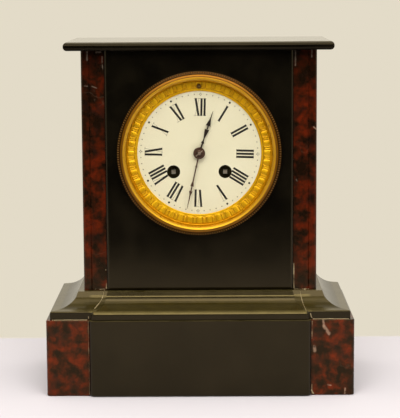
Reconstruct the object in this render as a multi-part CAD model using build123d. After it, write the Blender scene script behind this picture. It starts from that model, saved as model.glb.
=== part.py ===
from build123d import *
import os
from math import acos, atan2, cos, degrees, hypot, pi, radians, sin

# A shelf clock in black slate and red marble, with a hinged bezel, a round movement that goes and
# strikes, and a hinged back door. Millimetres. X is the clock's width, Z is up, the dial faces -Y.
# A depth is measured back from the front of the base end blocks.

# Base
BASE_WIDTH = 250.0
BASE_DEPTH = 130.0
BASE_HEIGHT = 62.5
BASE_BREAK = 4.4
END_WIDTH = 35.0
END_LENGTH = 30.0
SLATE = 12.0
EDGE_ROUND = 3.0
PANEL_ROUND = 4.2
FOOT_ROUND = 2.0
RIM_ROUND = 0.8

# Moulded slab between base and body
MOULD_INSET = 3.2
MOULD_STEP = 6.8
MOULD_COVE = 8.0
MOULD_LIP = 4.7
MOULD_LEAN = 1.7
MOULD_SHELF = 0.3
MOULD_CURVE = 0.8
MOULD_LEDGE = 4.5
COVE_HOLLOW = 0.28
STEP_EDGE = 1.0
CENTRE_LIP = 3.0
CENTRE_LEAN = 0.9
CENTRE_SHELF = 2.9
CENTRE_CURVE = 0.31
CENTRE_INSET = 1.5
CENTRE_RUN = 12.6
CENTRE_ROUND = 3.0
STEP_ROUND = 2.4
STEP_QUIRK = 3.0
BEAD_TALL = 1.8
BEAD_LEAN = 0.5
BEAD_SWELL = 0.15

# Body
BODY_WIDTH = 191.6
BODY_HEIGHT = 197.0
BODY_SETBACK = 29.0
PANEL_WIDTH = 153.6
PANEL_PROUD = 3.1
PANEL_THICK = 12.0
SLIP_WIDTH = 12.4
SLIP_THICK = 12.0
JOINT_BEVEL = 0.5
POST_LENGTH = 25.0
POST_ROUND = 2.5
SIDE_THICK = 10.0
PANEL_HOLE = 58.0
BACK_HOLE = 57.0

# Top slab
TOP_WIDTH = 218.0
TOP_THICK = 7.0
TOP_FRONT = 18.0
TOP_BREAK = 2.5
TOP_BREAK_WIDTH = 166.0
TOP_ROUND = 3.2

# Dial and bezel, radii about the dial centre
DIAL_Z = 196.0
DIAL_R = 52.5
DIAL_THICK = 1.6
DIAL_PROUD = 1.5
SIGHT_IN = 50.3
SIGHT_OUT = 59.2
SIGHT_THICK = 0.9
SIGHT_RISE = 3.6
KEY_HOLE = 5.4
REGULATOR_HOLE = 1.9
FRAME_OUT = 64.5
FRAME_TUBE = 57.4
FRAME_WALL = 1.5
FRAME_SEAT = 51.0
FRAME_REAR = 47.5
FLANGE = 2.0
DOOR_IN = 59.6
DOOR_BAND = 62.3
DOOR_GROOVE = 63.9
DOOR_OUT = 66.5
DOOR_HEIGHT = 10.4
DOOR_GAP = 0.3
GLASS_R = 61.0
GLASS_THICK = 2.0
GLASS_DROP = 2.9
HINGE_HALF = 9.0
HINGE_DOOR_HALF = 4.0
HINGE_IN = 2.0
HINGE_RISE = 1.9
BEZEL_KNUCKLE = 1.2
BEZEL_PIN = 0.6
KNUCKLE_R = 1.7
KNUCKLE_GAP = 0.3
PIN_R = 0.8
RUN = 0.05

# Hands, as the photo shows them at about half past twelve
HOUR_ANGLE = 18.5
MINUTE_ANGLE = 192.6
HOUR_LENGTH = 35.7
MINUTE_LENGTH = 46.6
HAND_THICK = 0.7
HAND_GAP = 1.5
HOUR_BOSS = 4.0
MINUTE_BOSS = 4.8
COLLET_R = 2.8
COLLET_DOME = 0.9
TAPER_LENGTH = 7.4
TAPER_ANGLE = 40.0

# Movement frame
PLATE_R = 50.0
PLATE_THICK = 2.5
PLATE_SPACE = 40.0
PLATE_DEPTH = 33.0
PILLAR_R = 2.6
PILLAR_CIRCLE = 46.5
PILLAR_ANGLES = (43.0, 137.0, 240.0, 300.0)
SCREW_R = 1.6
SCREW_CIRCLE = 53.5
SCREW_HEAD = 3.0

# Winding and barrels
ARBOR_X = 21.0
ARBOR_DROP = 15.5
ARBOR_R = 2.5
SQUARE = 3.2
SQUARE_PROUD = 1.0
BARREL_R = 18.0
BARREL_WALL = 1.5
BARREL_LENGTH = 24.0
RATCHET_R = 8.0
RATCHET_TEETH = 24
CLICK_REACH = 13.0
CLICK_ANGLE = 20.0
SPRING_TURNS = 7
SPRING_THICK = 0.4

# Wheel counts and modules
BARREL_TEETH, BARREL_PINION, BARREL_MODULE = 76, 12, 0.5
INTER_TEETH, CENTRE_PINION, INTER_MODULE = 72, 12, 0.4
CENTRE_TEETH, THIRD_PINION, CENTRE_MODULE = 90, 8, 0.32
THIRD_TEETH, ESCAPE_PINION, THIRD_MODULE = 88, 8, 0.3
CANNON_TEETH, MINUTE_TEETH, CANNON_MODULE = 16, 48, 0.5
MINUTE_PINION, HOUR_TEETH = 12, 48
SECOND_TEETH, PIN_PINION, SECOND_MODULE = 90, 10, 0.36
PIN_TEETH, WARNING_PINION, PIN_MODULE = 64, 8, 0.3
WARNING_TEETH, FLY_PINION, WARNING_MODULE = 56, 8, 0.3
ADDENDUM = 0.9
DEDENDUM = 1.25
TIP_SHARE = 0.2
ROOT_SHARE = 0.58
WHEEL_THICK = 1.2
PINION_SIDE = 0.6

# Escapement, pendulum and regulator
ESCAPE_HEIGHT = 24.0
ESCAPE_R = 10.5
ESCAPE_TEETH = 42
ANCHOR_HEIGHT = 40.0
PALLET_CLEAR = 1.1
PENDULUM_LENGTH = 119.0
BOB_R = 17.0
BOB_THICK = 10.0
ROD_R = 1.2
REGULATOR_HEIGHT = 54.0
REGULATOR_R = 1.0
COCK_GAP = 7.0
COCK_THICK = 3.0
COCK_HALF = 9.0

# Striking side
SECOND_ANGLE = 110.0
PIN_ANGLE = 70.0
WARNING_ANGLE = 75.0
FLY_ANGLE = 30.0
FLY_R = 6.5
COUNT_R = 15.0
HAMMER_X = -40.5
HAMMER_Z = 19.2
HAMMER_GAP = 1.2
BELL_R = 32.0
BELL_HEIGHT = 18.0
BELL_WALL = 2.0
BELL_FLAT = 3.0
BELL_DROP = 8.0
BELL_BEHIND = 18.0
STAND_X = 33.0
STAND_Z = -24.0
STAND_R = 2.5

# Back ring and door
BACK_RING_OUT = 63.0
BACK_RING_IN = 50.0
BACK_FLANGE = 1.5
BACK_TUBE = 8.0
BACK_DOOR_R = 60.5
BACK_DOOR_THICK = 1.2
BACK_DOOR_RIM = 2.4
BACK_HINGE_HALF = 16.0
BACK_HINGE_DOOR_HALF = 8.0
KNOB_R = 2.6
KNOB_LENGTH = 4.0
KNOB_X = -50.0

# Places worked out from the sizes above
BACK_FACE = BASE_DEPTH + BACK_FLANGE
BACK_DOOR_NEAR = BACK_FACE + DOOR_GAP + BACK_DOOR_RIM
BACK_MOST = BACK_DOOR_NEAR + BACK_DOOR_THICK + KNOB_LENGTH
DEPTH_ZERO = (BACK_MOST - BASE_BREAK) / 2
BODY_FOOT = BASE_HEIGHT + MOULD_STEP + MOULD_COVE + MOULD_LIP
BODY_TOP = BODY_FOOT + BODY_HEIGHT
HALF_BASE = BASE_WIDTH / 2
HALF_BODY = BODY_WIDTH / 2
HALF_PANEL = PANEL_WIDTH / 2
HALF_BASE_PANEL = HALF_BASE - END_WIDTH
POST_IN = HALF_PANEL + SLIP_WIDTH
POST_BACK = BODY_SETBACK + POST_LENGTH
PANEL_FACE = BODY_SETBACK - PANEL_PROUD
DIAL_FACE = PANEL_FACE - DIAL_PROUD
DIAL_BACK = DIAL_FACE + DIAL_THICK
FLANGE_FACE = PANEL_FACE - FLANGE
DOOR_BACK = FLANGE_FACE - DOOR_GAP
DOOR_FACE = DOOR_BACK - DOOR_HEIGHT
GLASS_NEAR = DOOR_FACE + GLASS_DROP
GLASS_FAR = GLASS_NEAR + GLASS_THICK
HINGE_X = HINGE_IN - DOOR_OUT
HINGE_DEPTH = DOOR_BACK - HINGE_RISE
TRAIN = PLATE_DEPTH + PLATE_THICK
BACK_PLATE = TRAIN + PLATE_SPACE
PLATE_BACK = BACK_PLATE + PLATE_THICK
COCK_NEAR = PLATE_BACK + COCK_GAP
COCK_FAR = COCK_NEAR + COCK_THICK
PENDULUM_DEPTH = COCK_FAR + 2.5
BELL_MOUTH = PLATE_BACK + BELL_BEHIND
BELL_CROWN = BELL_MOUTH + BELL_HEIGHT
BACK_HINGE_X = BACK_DOOR_R + KNUCKLE_R + 0.8
BACK_HINGE_DEPTH = BACK_FACE + KNUCKLE_R - 0.6

# Depths of the wheels, behind the front plate
INTER_AT = TRAIN + 1.5
BARREL_AT = TRAIN + 4.5
BARREL_FACE = 2.5
CENTRE_AT = TRAIN + 34.4
THIRD_AT = TRAIN + 36.9
ESCAPE_AT = TRAIN + 30.0
WARNING_AT = TRAIN + 20.0
HOUR_AT = DIAL_BACK + 1.0
CANNON_AT = HOUR_AT + 2.4
RATCHET_AT = PLATE_DEPTH - 2.0
RATCHET_THICK = 1.5


# Helpers

def block(x0, x1, near, far, z0, z1):
    """A block between two widths, two depths and two heights."""
    centre = Pos((x0 + x1) / 2, (near + far) / 2 - DEPTH_ZERO, (z0 + z1) / 2)
    return centre * Box(x1 - x0, far - near, z1 - z0)


def upright(x, depth, r, z0, z1):
    """A vertical rod."""
    return Pos(x, depth - DEPTH_ZERO, (z0 + z1) / 2) * Cylinder(r, z1 - z0)


def plate(sketch, near, far):
    """A front-view drawing about the dial centre, made solid between two depths."""
    plane = Plane((0, far - DEPTH_ZERO, DIAL_Z), x_dir=(1, 0, 0), z_dir=(0, -1, 0))
    return extrude(plane * sketch, amount=far - near)


def rod(at, r, near, far):
    """A rod that runs from front to back, at a place measured from the dial centre."""
    return plate(Pos(*at) * Circle(r), near, far)


def turned(at, points):
    """A ring turned about a front-to-back line: corners are (radius, depth)."""
    plane = Plane((at[0], -DEPTH_ZERO, DIAL_Z + at[1]), x_dir=(1, 0, 0), z_dir=(0, 0, 1))
    line = Axis((at[0], 0, DIAL_Z + at[1]), (0, 1, 0))
    return revolve(plane * make_face(Polyline(*points, close=True)), axis=line)


def polar(centre, reach, angle):
    """The place at a distance and an angle in degrees from another place."""
    return centre[0] + reach * cos(radians(angle)), centre[1] + reach * sin(radians(angle))


def bearing(a, b):
    """The angle in degrees from one place to another."""
    return degrees(atan2(b[1] - a[1], b[0] - a[0]))


def meeting(a, reach_a, b, reach_b, side):
    """The place at given distances from two others, to the left (+1) or right (-1) of a line from a to b."""
    gap = hypot(b[0] - a[0], b[1] - a[1])
    turn = degrees(acos((reach_a ** 2 + gap ** 2 - reach_b ** 2) / (2 * reach_a * gap)))
    return polar(a, reach_a, bearing(a, b) + side * turn)


def apart(teeth, leaves, module):
    """The distance between the centres of two meshed wheels."""
    return (teeth + leaves) * module / 2


def mirror_x(shape):
    """The same piece on the other side of the clock."""
    return mirror(shape, about=Plane.YZ)


# Where the arbors stand, from the dial centre

CENTRE = (0.0, 0.0)
GOING = (ARBOR_X, -ARBOR_DROP)
STRIKE = (-ARBOR_X, -ARBOR_DROP)
BARREL_APART = apart(BARREL_TEETH, BARREL_PINION, BARREL_MODULE)
INTER = meeting(CENTRE, apart(INTER_TEETH, CENTRE_PINION, INTER_MODULE), GOING, BARREL_APART, 1)
ESCAPE = (0.0, ESCAPE_HEIGHT)
THIRD = meeting(
    CENTRE,
    apart(CENTRE_TEETH, THIRD_PINION, CENTRE_MODULE),
    ESCAPE,
    apart(THIRD_TEETH, ESCAPE_PINION, THIRD_MODULE),
    1,
)
ANCHOR = (0.0, ANCHOR_HEIGHT)
MINUTE_APART = apart(CANNON_TEETH, MINUTE_TEETH, CANNON_MODULE)
HOUR_MODULE = 2 * MINUTE_APART / (MINUTE_PINION + HOUR_TEETH)
MINUTE = (0.0, MINUTE_APART)
SECOND = polar(STRIKE, BARREL_APART, SECOND_ANGLE)
PIN = polar(SECOND, apart(SECOND_TEETH, PIN_PINION, SECOND_MODULE), PIN_ANGLE)
WARNING = polar(PIN, apart(PIN_TEETH, WARNING_PINION, PIN_MODULE), WARNING_ANGLE)
FLY = polar(WARNING, apart(WARNING_TEETH, FLY_PINION, WARNING_MODULE), FLY_ANGLE)
HAMMER = (HAMMER_X, HAMMER_Z)
REGULATOR = (0.0, REGULATOR_HEIGHT)
BELL = (0.0, -BELL_DROP)
STAND = (STAND_X, STAND_Z)
PILLARS = [polar(CENTRE, PILLAR_CIRCLE, angle) for angle in PILLAR_ANGLES]
SCREWS = [(-SCREW_CIRCLE, 0.0), (SCREW_CIRCLE, 0.0)]

# Each thin arbor: its place, its radius between the plates and its pivot radius
ARBORS = {
    "inter": (INTER, 1.2, 0.8),
    "third": (THIRD, 0.75, 0.5),
    "escape": (ESCAPE, 0.65, 0.45),
    "second": (SECOND, 1.2, 0.8),
    "pin": (PIN, 1.1, 0.7),
    "warning": (WARNING, 0.7, 0.5),
    "fly": (FLY, 0.7, 0.45),
    "hammer": (HAMMER, 1.2, 0.9),
    "anchor": (ANCHOR, 0.9, 0.6),
}
CENTRE_R = 1.2


def gear(at, teeth, module, near, far, toward):
    """A flat-flanked wheel with one tooth on the line toward another place."""
    pitch = teeth * module / 2
    tip = pitch + ADDENDUM * module
    root = pitch - DEDENDUM * module
    step = 2 * pi / teeth
    corners = []
    for tooth in range(teeth):
        middle = radians(toward) + tooth * step
        for share, r in ((-ROOT_SHARE, root), (-TIP_SHARE, tip), (TIP_SHARE, tip), (ROOT_SHARE, root)):
            angle = middle + share * step / 2
            corners.append((at[0] + r * cos(angle), at[1] + r * sin(angle)))
    return plate(make_face(Polyline(*corners, close=True)), near, far)


def driven(at, leaves, module, near, far, other):
    """A pinion with a gap on the line toward the wheel that drives it."""
    return gear(at, leaves, module, near, far, bearing(at, other) + 180 / leaves)


def crossings(at, r_in, r_out, arms, near, far):
    """The openings between the spokes of a wheel."""
    ring = Pos(*at) * (Circle(r_out) - Circle(r_in))
    for arm in range(arms):
        ring -= Pos(*at) * Rot(0, 0, 360 * arm / arms + 45) * Pos(r_out / 2, 0) * Rectangle(r_out + 2, 1.6)
    return plate(ring, near - 1, far + 1)


def arbor(name):
    """A thin arbor that fills the space between the plates, with a pivot in each plate."""
    at, r, pivot = ARBORS[name]
    body = rod(at, r, TRAIN + RUN, BACK_PLATE - RUN)
    return body + rod(at, pivot, PLATE_DEPTH, PLATE_BACK)


# Case

def base_front_panel():
    panel = block(-HALF_BASE_PANEL, HALF_BASE_PANEL, -BASE_BREAK, SLATE, 0, BASE_HEIGHT)
    front = panel.edges().filter_by(Axis.Z).group_by(Axis.Y)[0]
    panel = fillet(front, PANEL_ROUND)
    return fillet(panel.faces().sort_by(Axis.Z)[0].edges().group_by(Axis.Y)[0], FOOT_ROUND)


def base_end():
    end = block(HALF_BASE_PANEL, HALF_BASE, 0, END_LENGTH, 0, BASE_HEIGHT)
    corner = end.edges().filter_by(Axis.Z).group_by(Axis.Y)[0].sort_by(Axis.X)[-1]
    end = fillet(corner, EDGE_ROUND)
    rims = end.faces().filter_by(Plane.XY).edges()
    shown = [e for e in rims if e.center().X > HALF_BASE_PANEL + 1 and e.center().Y < END_LENGTH - DEPTH_ZERO - 1]
    return fillet(shown, RIM_ROUND)


def base_side():
    side = block(HALF_BASE - SLATE, HALF_BASE, END_LENGTH, BASE_DEPTH, 0, BASE_HEIGHT)
    return fillet(side.edges().filter_by(Axis.Y).group_by(Axis.X)[-1], RIM_ROUND)


def base_back_panel():
    inner = HALF_BASE - SLATE
    return block(-inner, inner, BASE_DEPTH - SLATE, BASE_DEPTH, 0, BASE_HEIGHT)


def quarter(start, end):
    """A quarter circle that leaves its start upright and reaches its end level."""
    off = 1 - cos(radians(45))
    return ThreePointArc(start, (start[0] + (end[0] - start[0]) * off, end[1] - (end[1] - start[1]) * off), end)


def cove(foot, top, lip, lean, shelf, curve, beaded):
    """One side of the moulding, from its foot up: a step, a shelf, a hollow curve, a bead if any, a lip.

    The curve takes a share of the way from the step to the lip, and the shelf rises toward it.
    """
    side = 1 if top > foot else -1
    low = BASE_HEIGHT + MOULD_STEP
    start = (foot + side * STEP_EDGE, low)
    crest = (top - side * lean, BODY_FOOT - lip)
    end = (crest[0] - side * BEAD_LEAN, crest[1] - BEAD_TALL) if beaded else crest
    reach = curve * abs(end[0] - start[0])
    bend = (end[0] - side * reach, low + shelf)
    rise = end[1] - bend[1]
    sag = COVE_HOLLOW * reach * rise / hypot(reach, rise) ** 2
    middle = ((bend[0] + end[0]) / 2 + side * sag * rise, (bend[1] + end[1]) / 2 - sag * reach)
    line = Line((foot, BASE_HEIGHT), (foot, low - STEP_EDGE))
    line += quarter((foot, low - STEP_EDGE), start)
    line += Line(start, bend) + ThreePointArc(bend, middle, end)
    if beaded:
        swell = ((end[0] + crest[0]) / 2 - side * BEAD_SWELL, (end[1] + crest[1]) / 2)
        line += ThreePointArc(end, swell, crest)
    return line + Line(crest, (top, BODY_FOOT))


def moulded(half_foot, half_top, front_foot, front_top, back, *curve):
    """A slab whose front and two sides carry the moulding, with mitred corners."""
    sides = cove(-half_foot, -half_top, *curve) + cove(half_foot, half_top, *curve)
    sides += Line((-half_top, BODY_FOOT), (half_top, BODY_FOOT))
    sides += Line((-half_foot, BASE_HEIGHT), (half_foot, BASE_HEIGHT))
    across = Plane((0, back - DEPTH_ZERO, 0), x_dir=(1, 0, 0), z_dir=(0, -1, 0))
    seen_from_front = extrude(across * make_face(sides), amount=back - front_foot)
    end = cove(front_foot, front_top, *curve)
    end += Line((front_top, BODY_FOOT), (back, BODY_FOOT))
    end += Line((back, BODY_FOOT), (back, BASE_HEIGHT))
    end += Line((front_foot, BASE_HEIGHT), (back, BASE_HEIGHT))
    along = Plane((-half_foot, -DEPTH_ZERO, 0), x_dir=(0, 1, 0), z_dir=(1, 0, 0))
    seen_from_side = extrude(along * make_face(end), amount=2 * half_foot)
    return seen_from_front & seen_from_side


def moulding_slab():
    front_top = BODY_SETBACK - MOULD_LEDGE
    half_foot, half_top = HALF_BASE - MOULD_INSET, HALF_BODY + MOULD_LEDGE
    curve = (MOULD_LIP, MOULD_LEAN, MOULD_SHELF, MOULD_CURVE, False)
    whole = moulded(half_foot, half_top, MOULD_INSET, front_top, BASE_DEPTH, *curve)
    half = HALF_BASE_PANEL - CENTRE_INSET
    front = MOULD_INSET - BASE_BREAK
    step = block(-half, half, front, POST_BACK, BASE_HEIGHT, BASE_HEIGHT + MOULD_STEP)
    step = fillet(step.edges().filter_by(Axis.Z).group_by(Axis.Y)[0], CENTRE_ROUND)
    upper = step.faces().sort_by(Axis.Z)[-1].edges()
    step = fillet([e for e in upper if e not in upper.group_by(Axis.Y)[-1]], STEP_ROUND)
    curve = (CENTRE_LIP, CENTRE_LEAN, CENTRE_SHELF, CENTRE_CURVE, True)
    foot = half - STEP_QUIRK
    middle = moulded(foot, half - CENTRE_RUN, front + STEP_QUIRK, front_top - BASE_BREAK, POST_BACK, *curve)
    return whole + step + middle


def front_panel():
    panel = block(-HALF_PANEL, HALF_PANEL, PANEL_FACE, PANEL_FACE + PANEL_THICK, BODY_FOOT, BODY_TOP)
    front = panel.faces().sort_by(Axis.Y)[0].edges()
    panel = fillet(front.filter_by(Axis.Z) + front.sort_by(Axis.Z)[0:1], PANEL_PROUD - 0.1)
    return panel - rod(CENTRE, PANEL_HOLE, PANEL_FACE - 1, PANEL_FACE + PANEL_THICK + 1)


def pilaster_slip():
    slip = block(HALF_PANEL, POST_IN, BODY_SETBACK, BODY_SETBACK + SLIP_THICK, BODY_FOOT, BODY_TOP)
    joint = slip.edges().filter_by(Axis.Z).group_by(Axis.Y)[0].sort_by(Axis.X)[-1]
    return chamfer(joint, JOINT_BEVEL)


def corner_post():
    post = block(POST_IN, HALF_BODY, BODY_SETBACK, POST_BACK, BODY_FOOT, BODY_TOP)
    corner = post.edges().filter_by(Axis.Z).group_by(Axis.Y)[0].sort_by(Axis.X)[-1]
    post = fillet(corner, POST_ROUND)
    joint = post.edges().filter_by(Axis.Z).group_by(Axis.Y)[0].sort_by(Axis.X)[0]
    return chamfer(joint, JOINT_BEVEL)


def side_slab():
    return block(HALF_BODY - SIDE_THICK, HALF_BODY, POST_BACK, BASE_DEPTH, BODY_FOOT, BODY_TOP)


def back_panel():
    inner = HALF_BODY - SIDE_THICK
    panel = block(-inner, inner, BASE_DEPTH - SLATE, BASE_DEPTH, BODY_FOOT, BODY_TOP)
    return panel - rod(CENTRE, BACK_HOLE, BASE_DEPTH - SLATE - 1, BASE_DEPTH + 1)


def rounded_slab(half, near, far):
    """A slab with rounded front and side edges, above and below."""
    slab = block(-half, half, near, far, BODY_TOP, BODY_TOP + TOP_THICK)
    level = slab.edges().filter_by(Plane.XY)
    back = slab.faces().sort_by(Axis.Y)[-1].edges()
    return fillet([e for e in level if e not in back], TOP_ROUND)


def top_slab():
    whole = rounded_slab(TOP_WIDTH / 2, TOP_FRONT, BASE_DEPTH)
    return whole + rounded_slab(TOP_BREAK_WIDTH / 2, TOP_FRONT - TOP_BREAK, BODY_SETBACK + SLATE)


# Dial and bezel

def bezel_frame():
    inner = FRAME_TUBE - FRAME_WALL
    seat = DIAL_BACK + FLANGE * 0.75
    ring = turned(CENTRE, [
        (inner, FLANGE_FACE), (FRAME_OUT, FLANGE_FACE), (FRAME_OUT, PANEL_FACE), (FRAME_TUBE, PANEL_FACE),
        (FRAME_TUBE, PLATE_DEPTH), (FRAME_REAR, PLATE_DEPTH), (FRAME_REAR, PLATE_DEPTH - FLANGE),
        (inner, PLATE_DEPTH - FLANGE), (inner, seat), (FRAME_SEAT, seat), (FRAME_SEAT, DIAL_BACK),
        (inner, DIAL_BACK),
    ])
    for sign in (-1, 1):
        near, far = sorted((sign * (HINGE_DOOR_HALF + KNUCKLE_GAP), sign * HINGE_HALF))
        leaf = (HINGE_X - 0.9, HINGE_X + 1.1, HINGE_DEPTH, PANEL_FACE)
        ring += block(*leaf, DIAL_Z + near, DIAL_Z + far)
        ring += upright(HINGE_X, HINGE_DEPTH, BEZEL_KNUCKLE, DIAL_Z + near, DIAL_Z + far)
    ring -= upright(HINGE_X, HINGE_DEPTH, BEZEL_PIN, DIAL_Z - HINGE_HALF - 1, DIAL_Z + HINGE_HALF + 1)
    ring -= rod(REGULATOR, REGULATOR_R + RUN, DIAL_BACK - 1, PLATE_DEPTH + 1)
    for at in SCREWS:
        ring -= rod(at, SCREW_R, PLATE_DEPTH - FLANGE, PLATE_DEPTH + 1)
    return ring


def sight_ring():
    top = DIAL_FACE - SIGHT_RISE
    ring = turned(CENTRE, [
        (SIGHT_IN, DIAL_FACE), (SIGHT_IN, DIAL_FACE - SIGHT_THICK), (SIGHT_OUT - 1.5, top), (SIGHT_OUT, top),
        (SIGHT_OUT, FLANGE_FACE), (SIGHT_OUT - SIGHT_THICK, FLANGE_FACE),
        (SIGHT_OUT - SIGHT_THICK, top + SIGHT_THICK), (SIGHT_OUT - 1.5, top + SIGHT_THICK),
        (SIGHT_IN + 1.2, DIAL_FACE),
    ])
    return ring - rod(REGULATOR, REGULATOR_HOLE, top - 1, FLANGE_FACE + 1)


def dial():
    disc = Circle(DIAL_R) - Circle(3.4)
    for at in (GOING, STRIKE):
        disc -= Pos(*at) * Circle(KEY_HOLE)
    return plate(disc, DIAL_FACE, DIAL_BACK)


def bezel_door():
    crest = (DOOR_IN + DOOR_BAND) / 2 + 0.6
    ring = turned(CENTRE, [
        (DOOR_IN, GLASS_NEAR), (DOOR_IN, GLASS_NEAR - 0.8), (DOOR_IN + 0.7, DOOR_FACE + 0.9), (crest, DOOR_FACE),
        (DOOR_BAND, DOOR_FACE + 0.8), (DOOR_BAND + 0.3, DOOR_FACE + 2.6), (DOOR_GROOVE, DOOR_FACE + 3.0),
        (DOOR_GROOVE + 0.6, DOOR_FACE + 2.4), (DOOR_OUT, DOOR_FACE + 3.6), (DOOR_OUT, DOOR_BACK - HINGE_IN - 0.1),
        (DOOR_OUT - HINGE_IN - 0.1, DOOR_BACK), (GLASS_R + RUN, DOOR_BACK), (GLASS_R + RUN, GLASS_NEAR),
    ])
    room = HINGE_HALF + 1
    for low, high in ((-room, -HINGE_DOOR_HALF), (HINGE_DOOR_HALF, room)):
        behind = (HINGE_DEPTH - 1.8, DOOR_BACK + 1)
        ring -= block(-DOOR_OUT - 1, HINGE_X + 1.5, *behind, DIAL_Z + low, DIAL_Z + high)
    return ring - upright(HINGE_X, HINGE_DEPTH, BEZEL_PIN + RUN, DIAL_Z - room, DIAL_Z + room)


def bezel_glass():
    return rod(CENTRE, GLASS_R, GLASS_NEAR, GLASS_FAR)


def bezel_hinge_pin():
    half = HINGE_HALF + 0.4
    return upright(HINGE_X, HINGE_DEPTH, BEZEL_PIN, DIAL_Z - half, DIAL_Z + half)


def blade(*stations):
    """A hand's outline, even about its line: each station is a distance from the dial centre and a half width."""
    right = [(half, reach) for reach, half in stations]
    left = [(-half, reach) for reach, half in reversed(stations)]
    return make_face(Polyline(*right, *left, close=True))


HOUR_HAND_AT = DIAL_FACE - HAND_GAP - HAND_THICK
MINUTE_HAND_AT = HOUR_HAND_AT - HAND_GAP
PIPE_R = CENTRE_R + RUN + 0.75
HOUR_PIPE_R = PIPE_R + RUN + 0.75


def hour_hand():
    shape = Circle(HOUR_BOSS) + blade(
        (3.0, 0.65), (8.4, 0.6), (8.2, 1.45), (10.5, 0.5), (13.0, 0.5), (20.2, 1.9), (20.0, 0.5),
        (23.4, 0.5), (23.0, 2.05), (29.2, 0.45), (HOUR_LENGTH, 0.15),
    )
    shape = Rot(0, 0, -HOUR_ANGLE) * shape - Circle(HOUR_PIPE_R)
    return plate(shape, HOUR_HAND_AT, HOUR_HAND_AT + HAND_THICK)


def minute_hand():
    shape = Circle(MINUTE_BOSS) + blade(
        (3.0, 0.6), (10.6, 0.5), (11.2, 1.2), (11.8, 0.5), (23.6, 0.5), (27.7, 1.4), (27.4, 0.45),
        (31.9, 0.45), (31.6, 1.5), (35.0, 0.55), (MINUTE_LENGTH, 0.15),
    )
    shape = Rot(0, 0, -MINUTE_ANGLE) * shape - Circle(PIPE_R)
    return plate(shape, MINUTE_HAND_AT, MINUTE_HAND_AT + HAND_THICK)


def hand_collet():
    """A domed washer over the minute hand, and the taper pin that holds it."""
    crown = MINUTE_HAND_AT - COLLET_DOME
    washer = turned(CENTRE, [
        (0, MINUTE_HAND_AT), (COLLET_R, MINUTE_HAND_AT), (COLLET_R, MINUTE_HAND_AT - 0.3),
        (COLLET_R * 0.75, crown + 0.2), (COLLET_R * 0.45, crown), (0, crown),
    ])
    post = rod(CENTRE, CENTRE_R, crown - 1.2, crown)
    way = polar(CENTRE, 1, TAPER_ANGLE)
    along = Plane((0, crown - 0.6 - DEPTH_ZERO, DIAL_Z), x_dir=(0, 1, 0), z_dir=(way[0], 0, way[1]))
    pin = along * Cone(0.45, 0.3, TAPER_LENGTH)
    return washer + post + pin


# Motion work

def cannon_pinion():
    pinion = gear(CENTRE, CANNON_TEETH, CANNON_MODULE, CANNON_AT, CANNON_AT + WHEEL_THICK, bearing(CENTRE, MINUTE))
    pipe = rod(CENTRE, PIPE_R, MINUTE_HAND_AT, CANNON_AT)
    return pinion + pipe - rod(CENTRE, CENTRE_R + RUN, MINUTE_HAND_AT - 1, CANNON_AT + 2)


def minute_wheel():
    wheel = driven(MINUTE, MINUTE_TEETH, CANNON_MODULE, CANNON_AT, CANNON_AT + WHEEL_THICK, CENTRE)
    wheel -= crossings(MINUTE, 4.6, 10.2, 4, CANNON_AT, CANNON_AT + WHEEL_THICK)
    toward = bearing(MINUTE, CENTRE)
    wheel += gear(MINUTE, MINUTE_PINION, HOUR_MODULE, HOUR_AT - 0.2, CANNON_AT, toward)
    return wheel - rod(MINUTE, CENTRE_R + RUN, HOUR_AT - 1, PLATE_DEPTH)


def hour_wheel():
    wheel = driven(CENTRE, HOUR_TEETH, HOUR_MODULE, HOUR_AT, HOUR_AT + WHEEL_THICK, MINUTE)
    wheel -= crossings(CENTRE, 4.6, 10.8, 4, HOUR_AT, HOUR_AT + WHEEL_THICK)
    wheel += rod(CENTRE, HOUR_PIPE_R, HOUR_HAND_AT, HOUR_AT)
    return wheel - rod(CENTRE, PIPE_R + RUN, HOUR_HAND_AT - 1, HOUR_AT + 2)


# Movement frame

def drilled(sheet, near, far):
    """The pivot holes that both plates share."""
    for at, _, pivot in ARBORS.values():
        sheet -= rod(at, pivot + RUN, near - 1, far + 1)
    for at in (GOING, STRIKE):
        sheet -= rod(at, ARBOR_R + RUN, near - 1, far + 1)
    return sheet - rod(CENTRE, CENTRE_R + RUN, near - 1, far + 1)


def click_place(at, side):
    """The pivot of a click beside its ratchet."""
    return polar(at, CLICK_REACH, -CLICK_ANGLE if side > 0 else 180 + CLICK_ANGLE)


def front_plate():
    sheet = drilled(rod(CENTRE, PLATE_R, PLATE_DEPTH, TRAIN), PLATE_DEPTH, TRAIN)
    for at in PILLARS:
        sheet += rod(at, PILLAR_R, TRAIN, BACK_PLATE) + rod(at, PILLAR_R - 1, BACK_PLATE, PLATE_BACK + 1.5)
    sheet += rod(MINUTE, CENTRE_R, HOUR_AT - 0.6, PLATE_DEPTH)
    for at, side in ((GOING, 1), (STRIKE, -1)):
        sheet += rod(click_place(at, side), 1.2, RATCHET_AT - 0.4, PLATE_DEPTH)
    return sheet


def back_plate():
    sheet = drilled(rod(CENTRE, PLATE_R, BACK_PLATE, PLATE_BACK), BACK_PLATE, PLATE_BACK)
    for at in PILLARS:
        sheet -= rod(at, PILLAR_R - 1, BACK_PLATE - 1, PLATE_BACK + 1)
    sheet -= rod(ANCHOR, ARBORS["anchor"][1] + RUN, BACK_PLATE - 1, PLATE_BACK + 1)
    sheet -= rod(SECOND, ARBORS["second"][1] + RUN, BACK_PLATE - 1, PLATE_BACK + 1)
    return sheet - rod(HAMMER, ARBORS["hammer"][1] + RUN, BACK_PLATE - 1, PLATE_BACK + 1)


# Barrels, the same on both sides

BARREL_BACK = BARREL_AT + BARREL_FACE + BARREL_LENGTH


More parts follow.
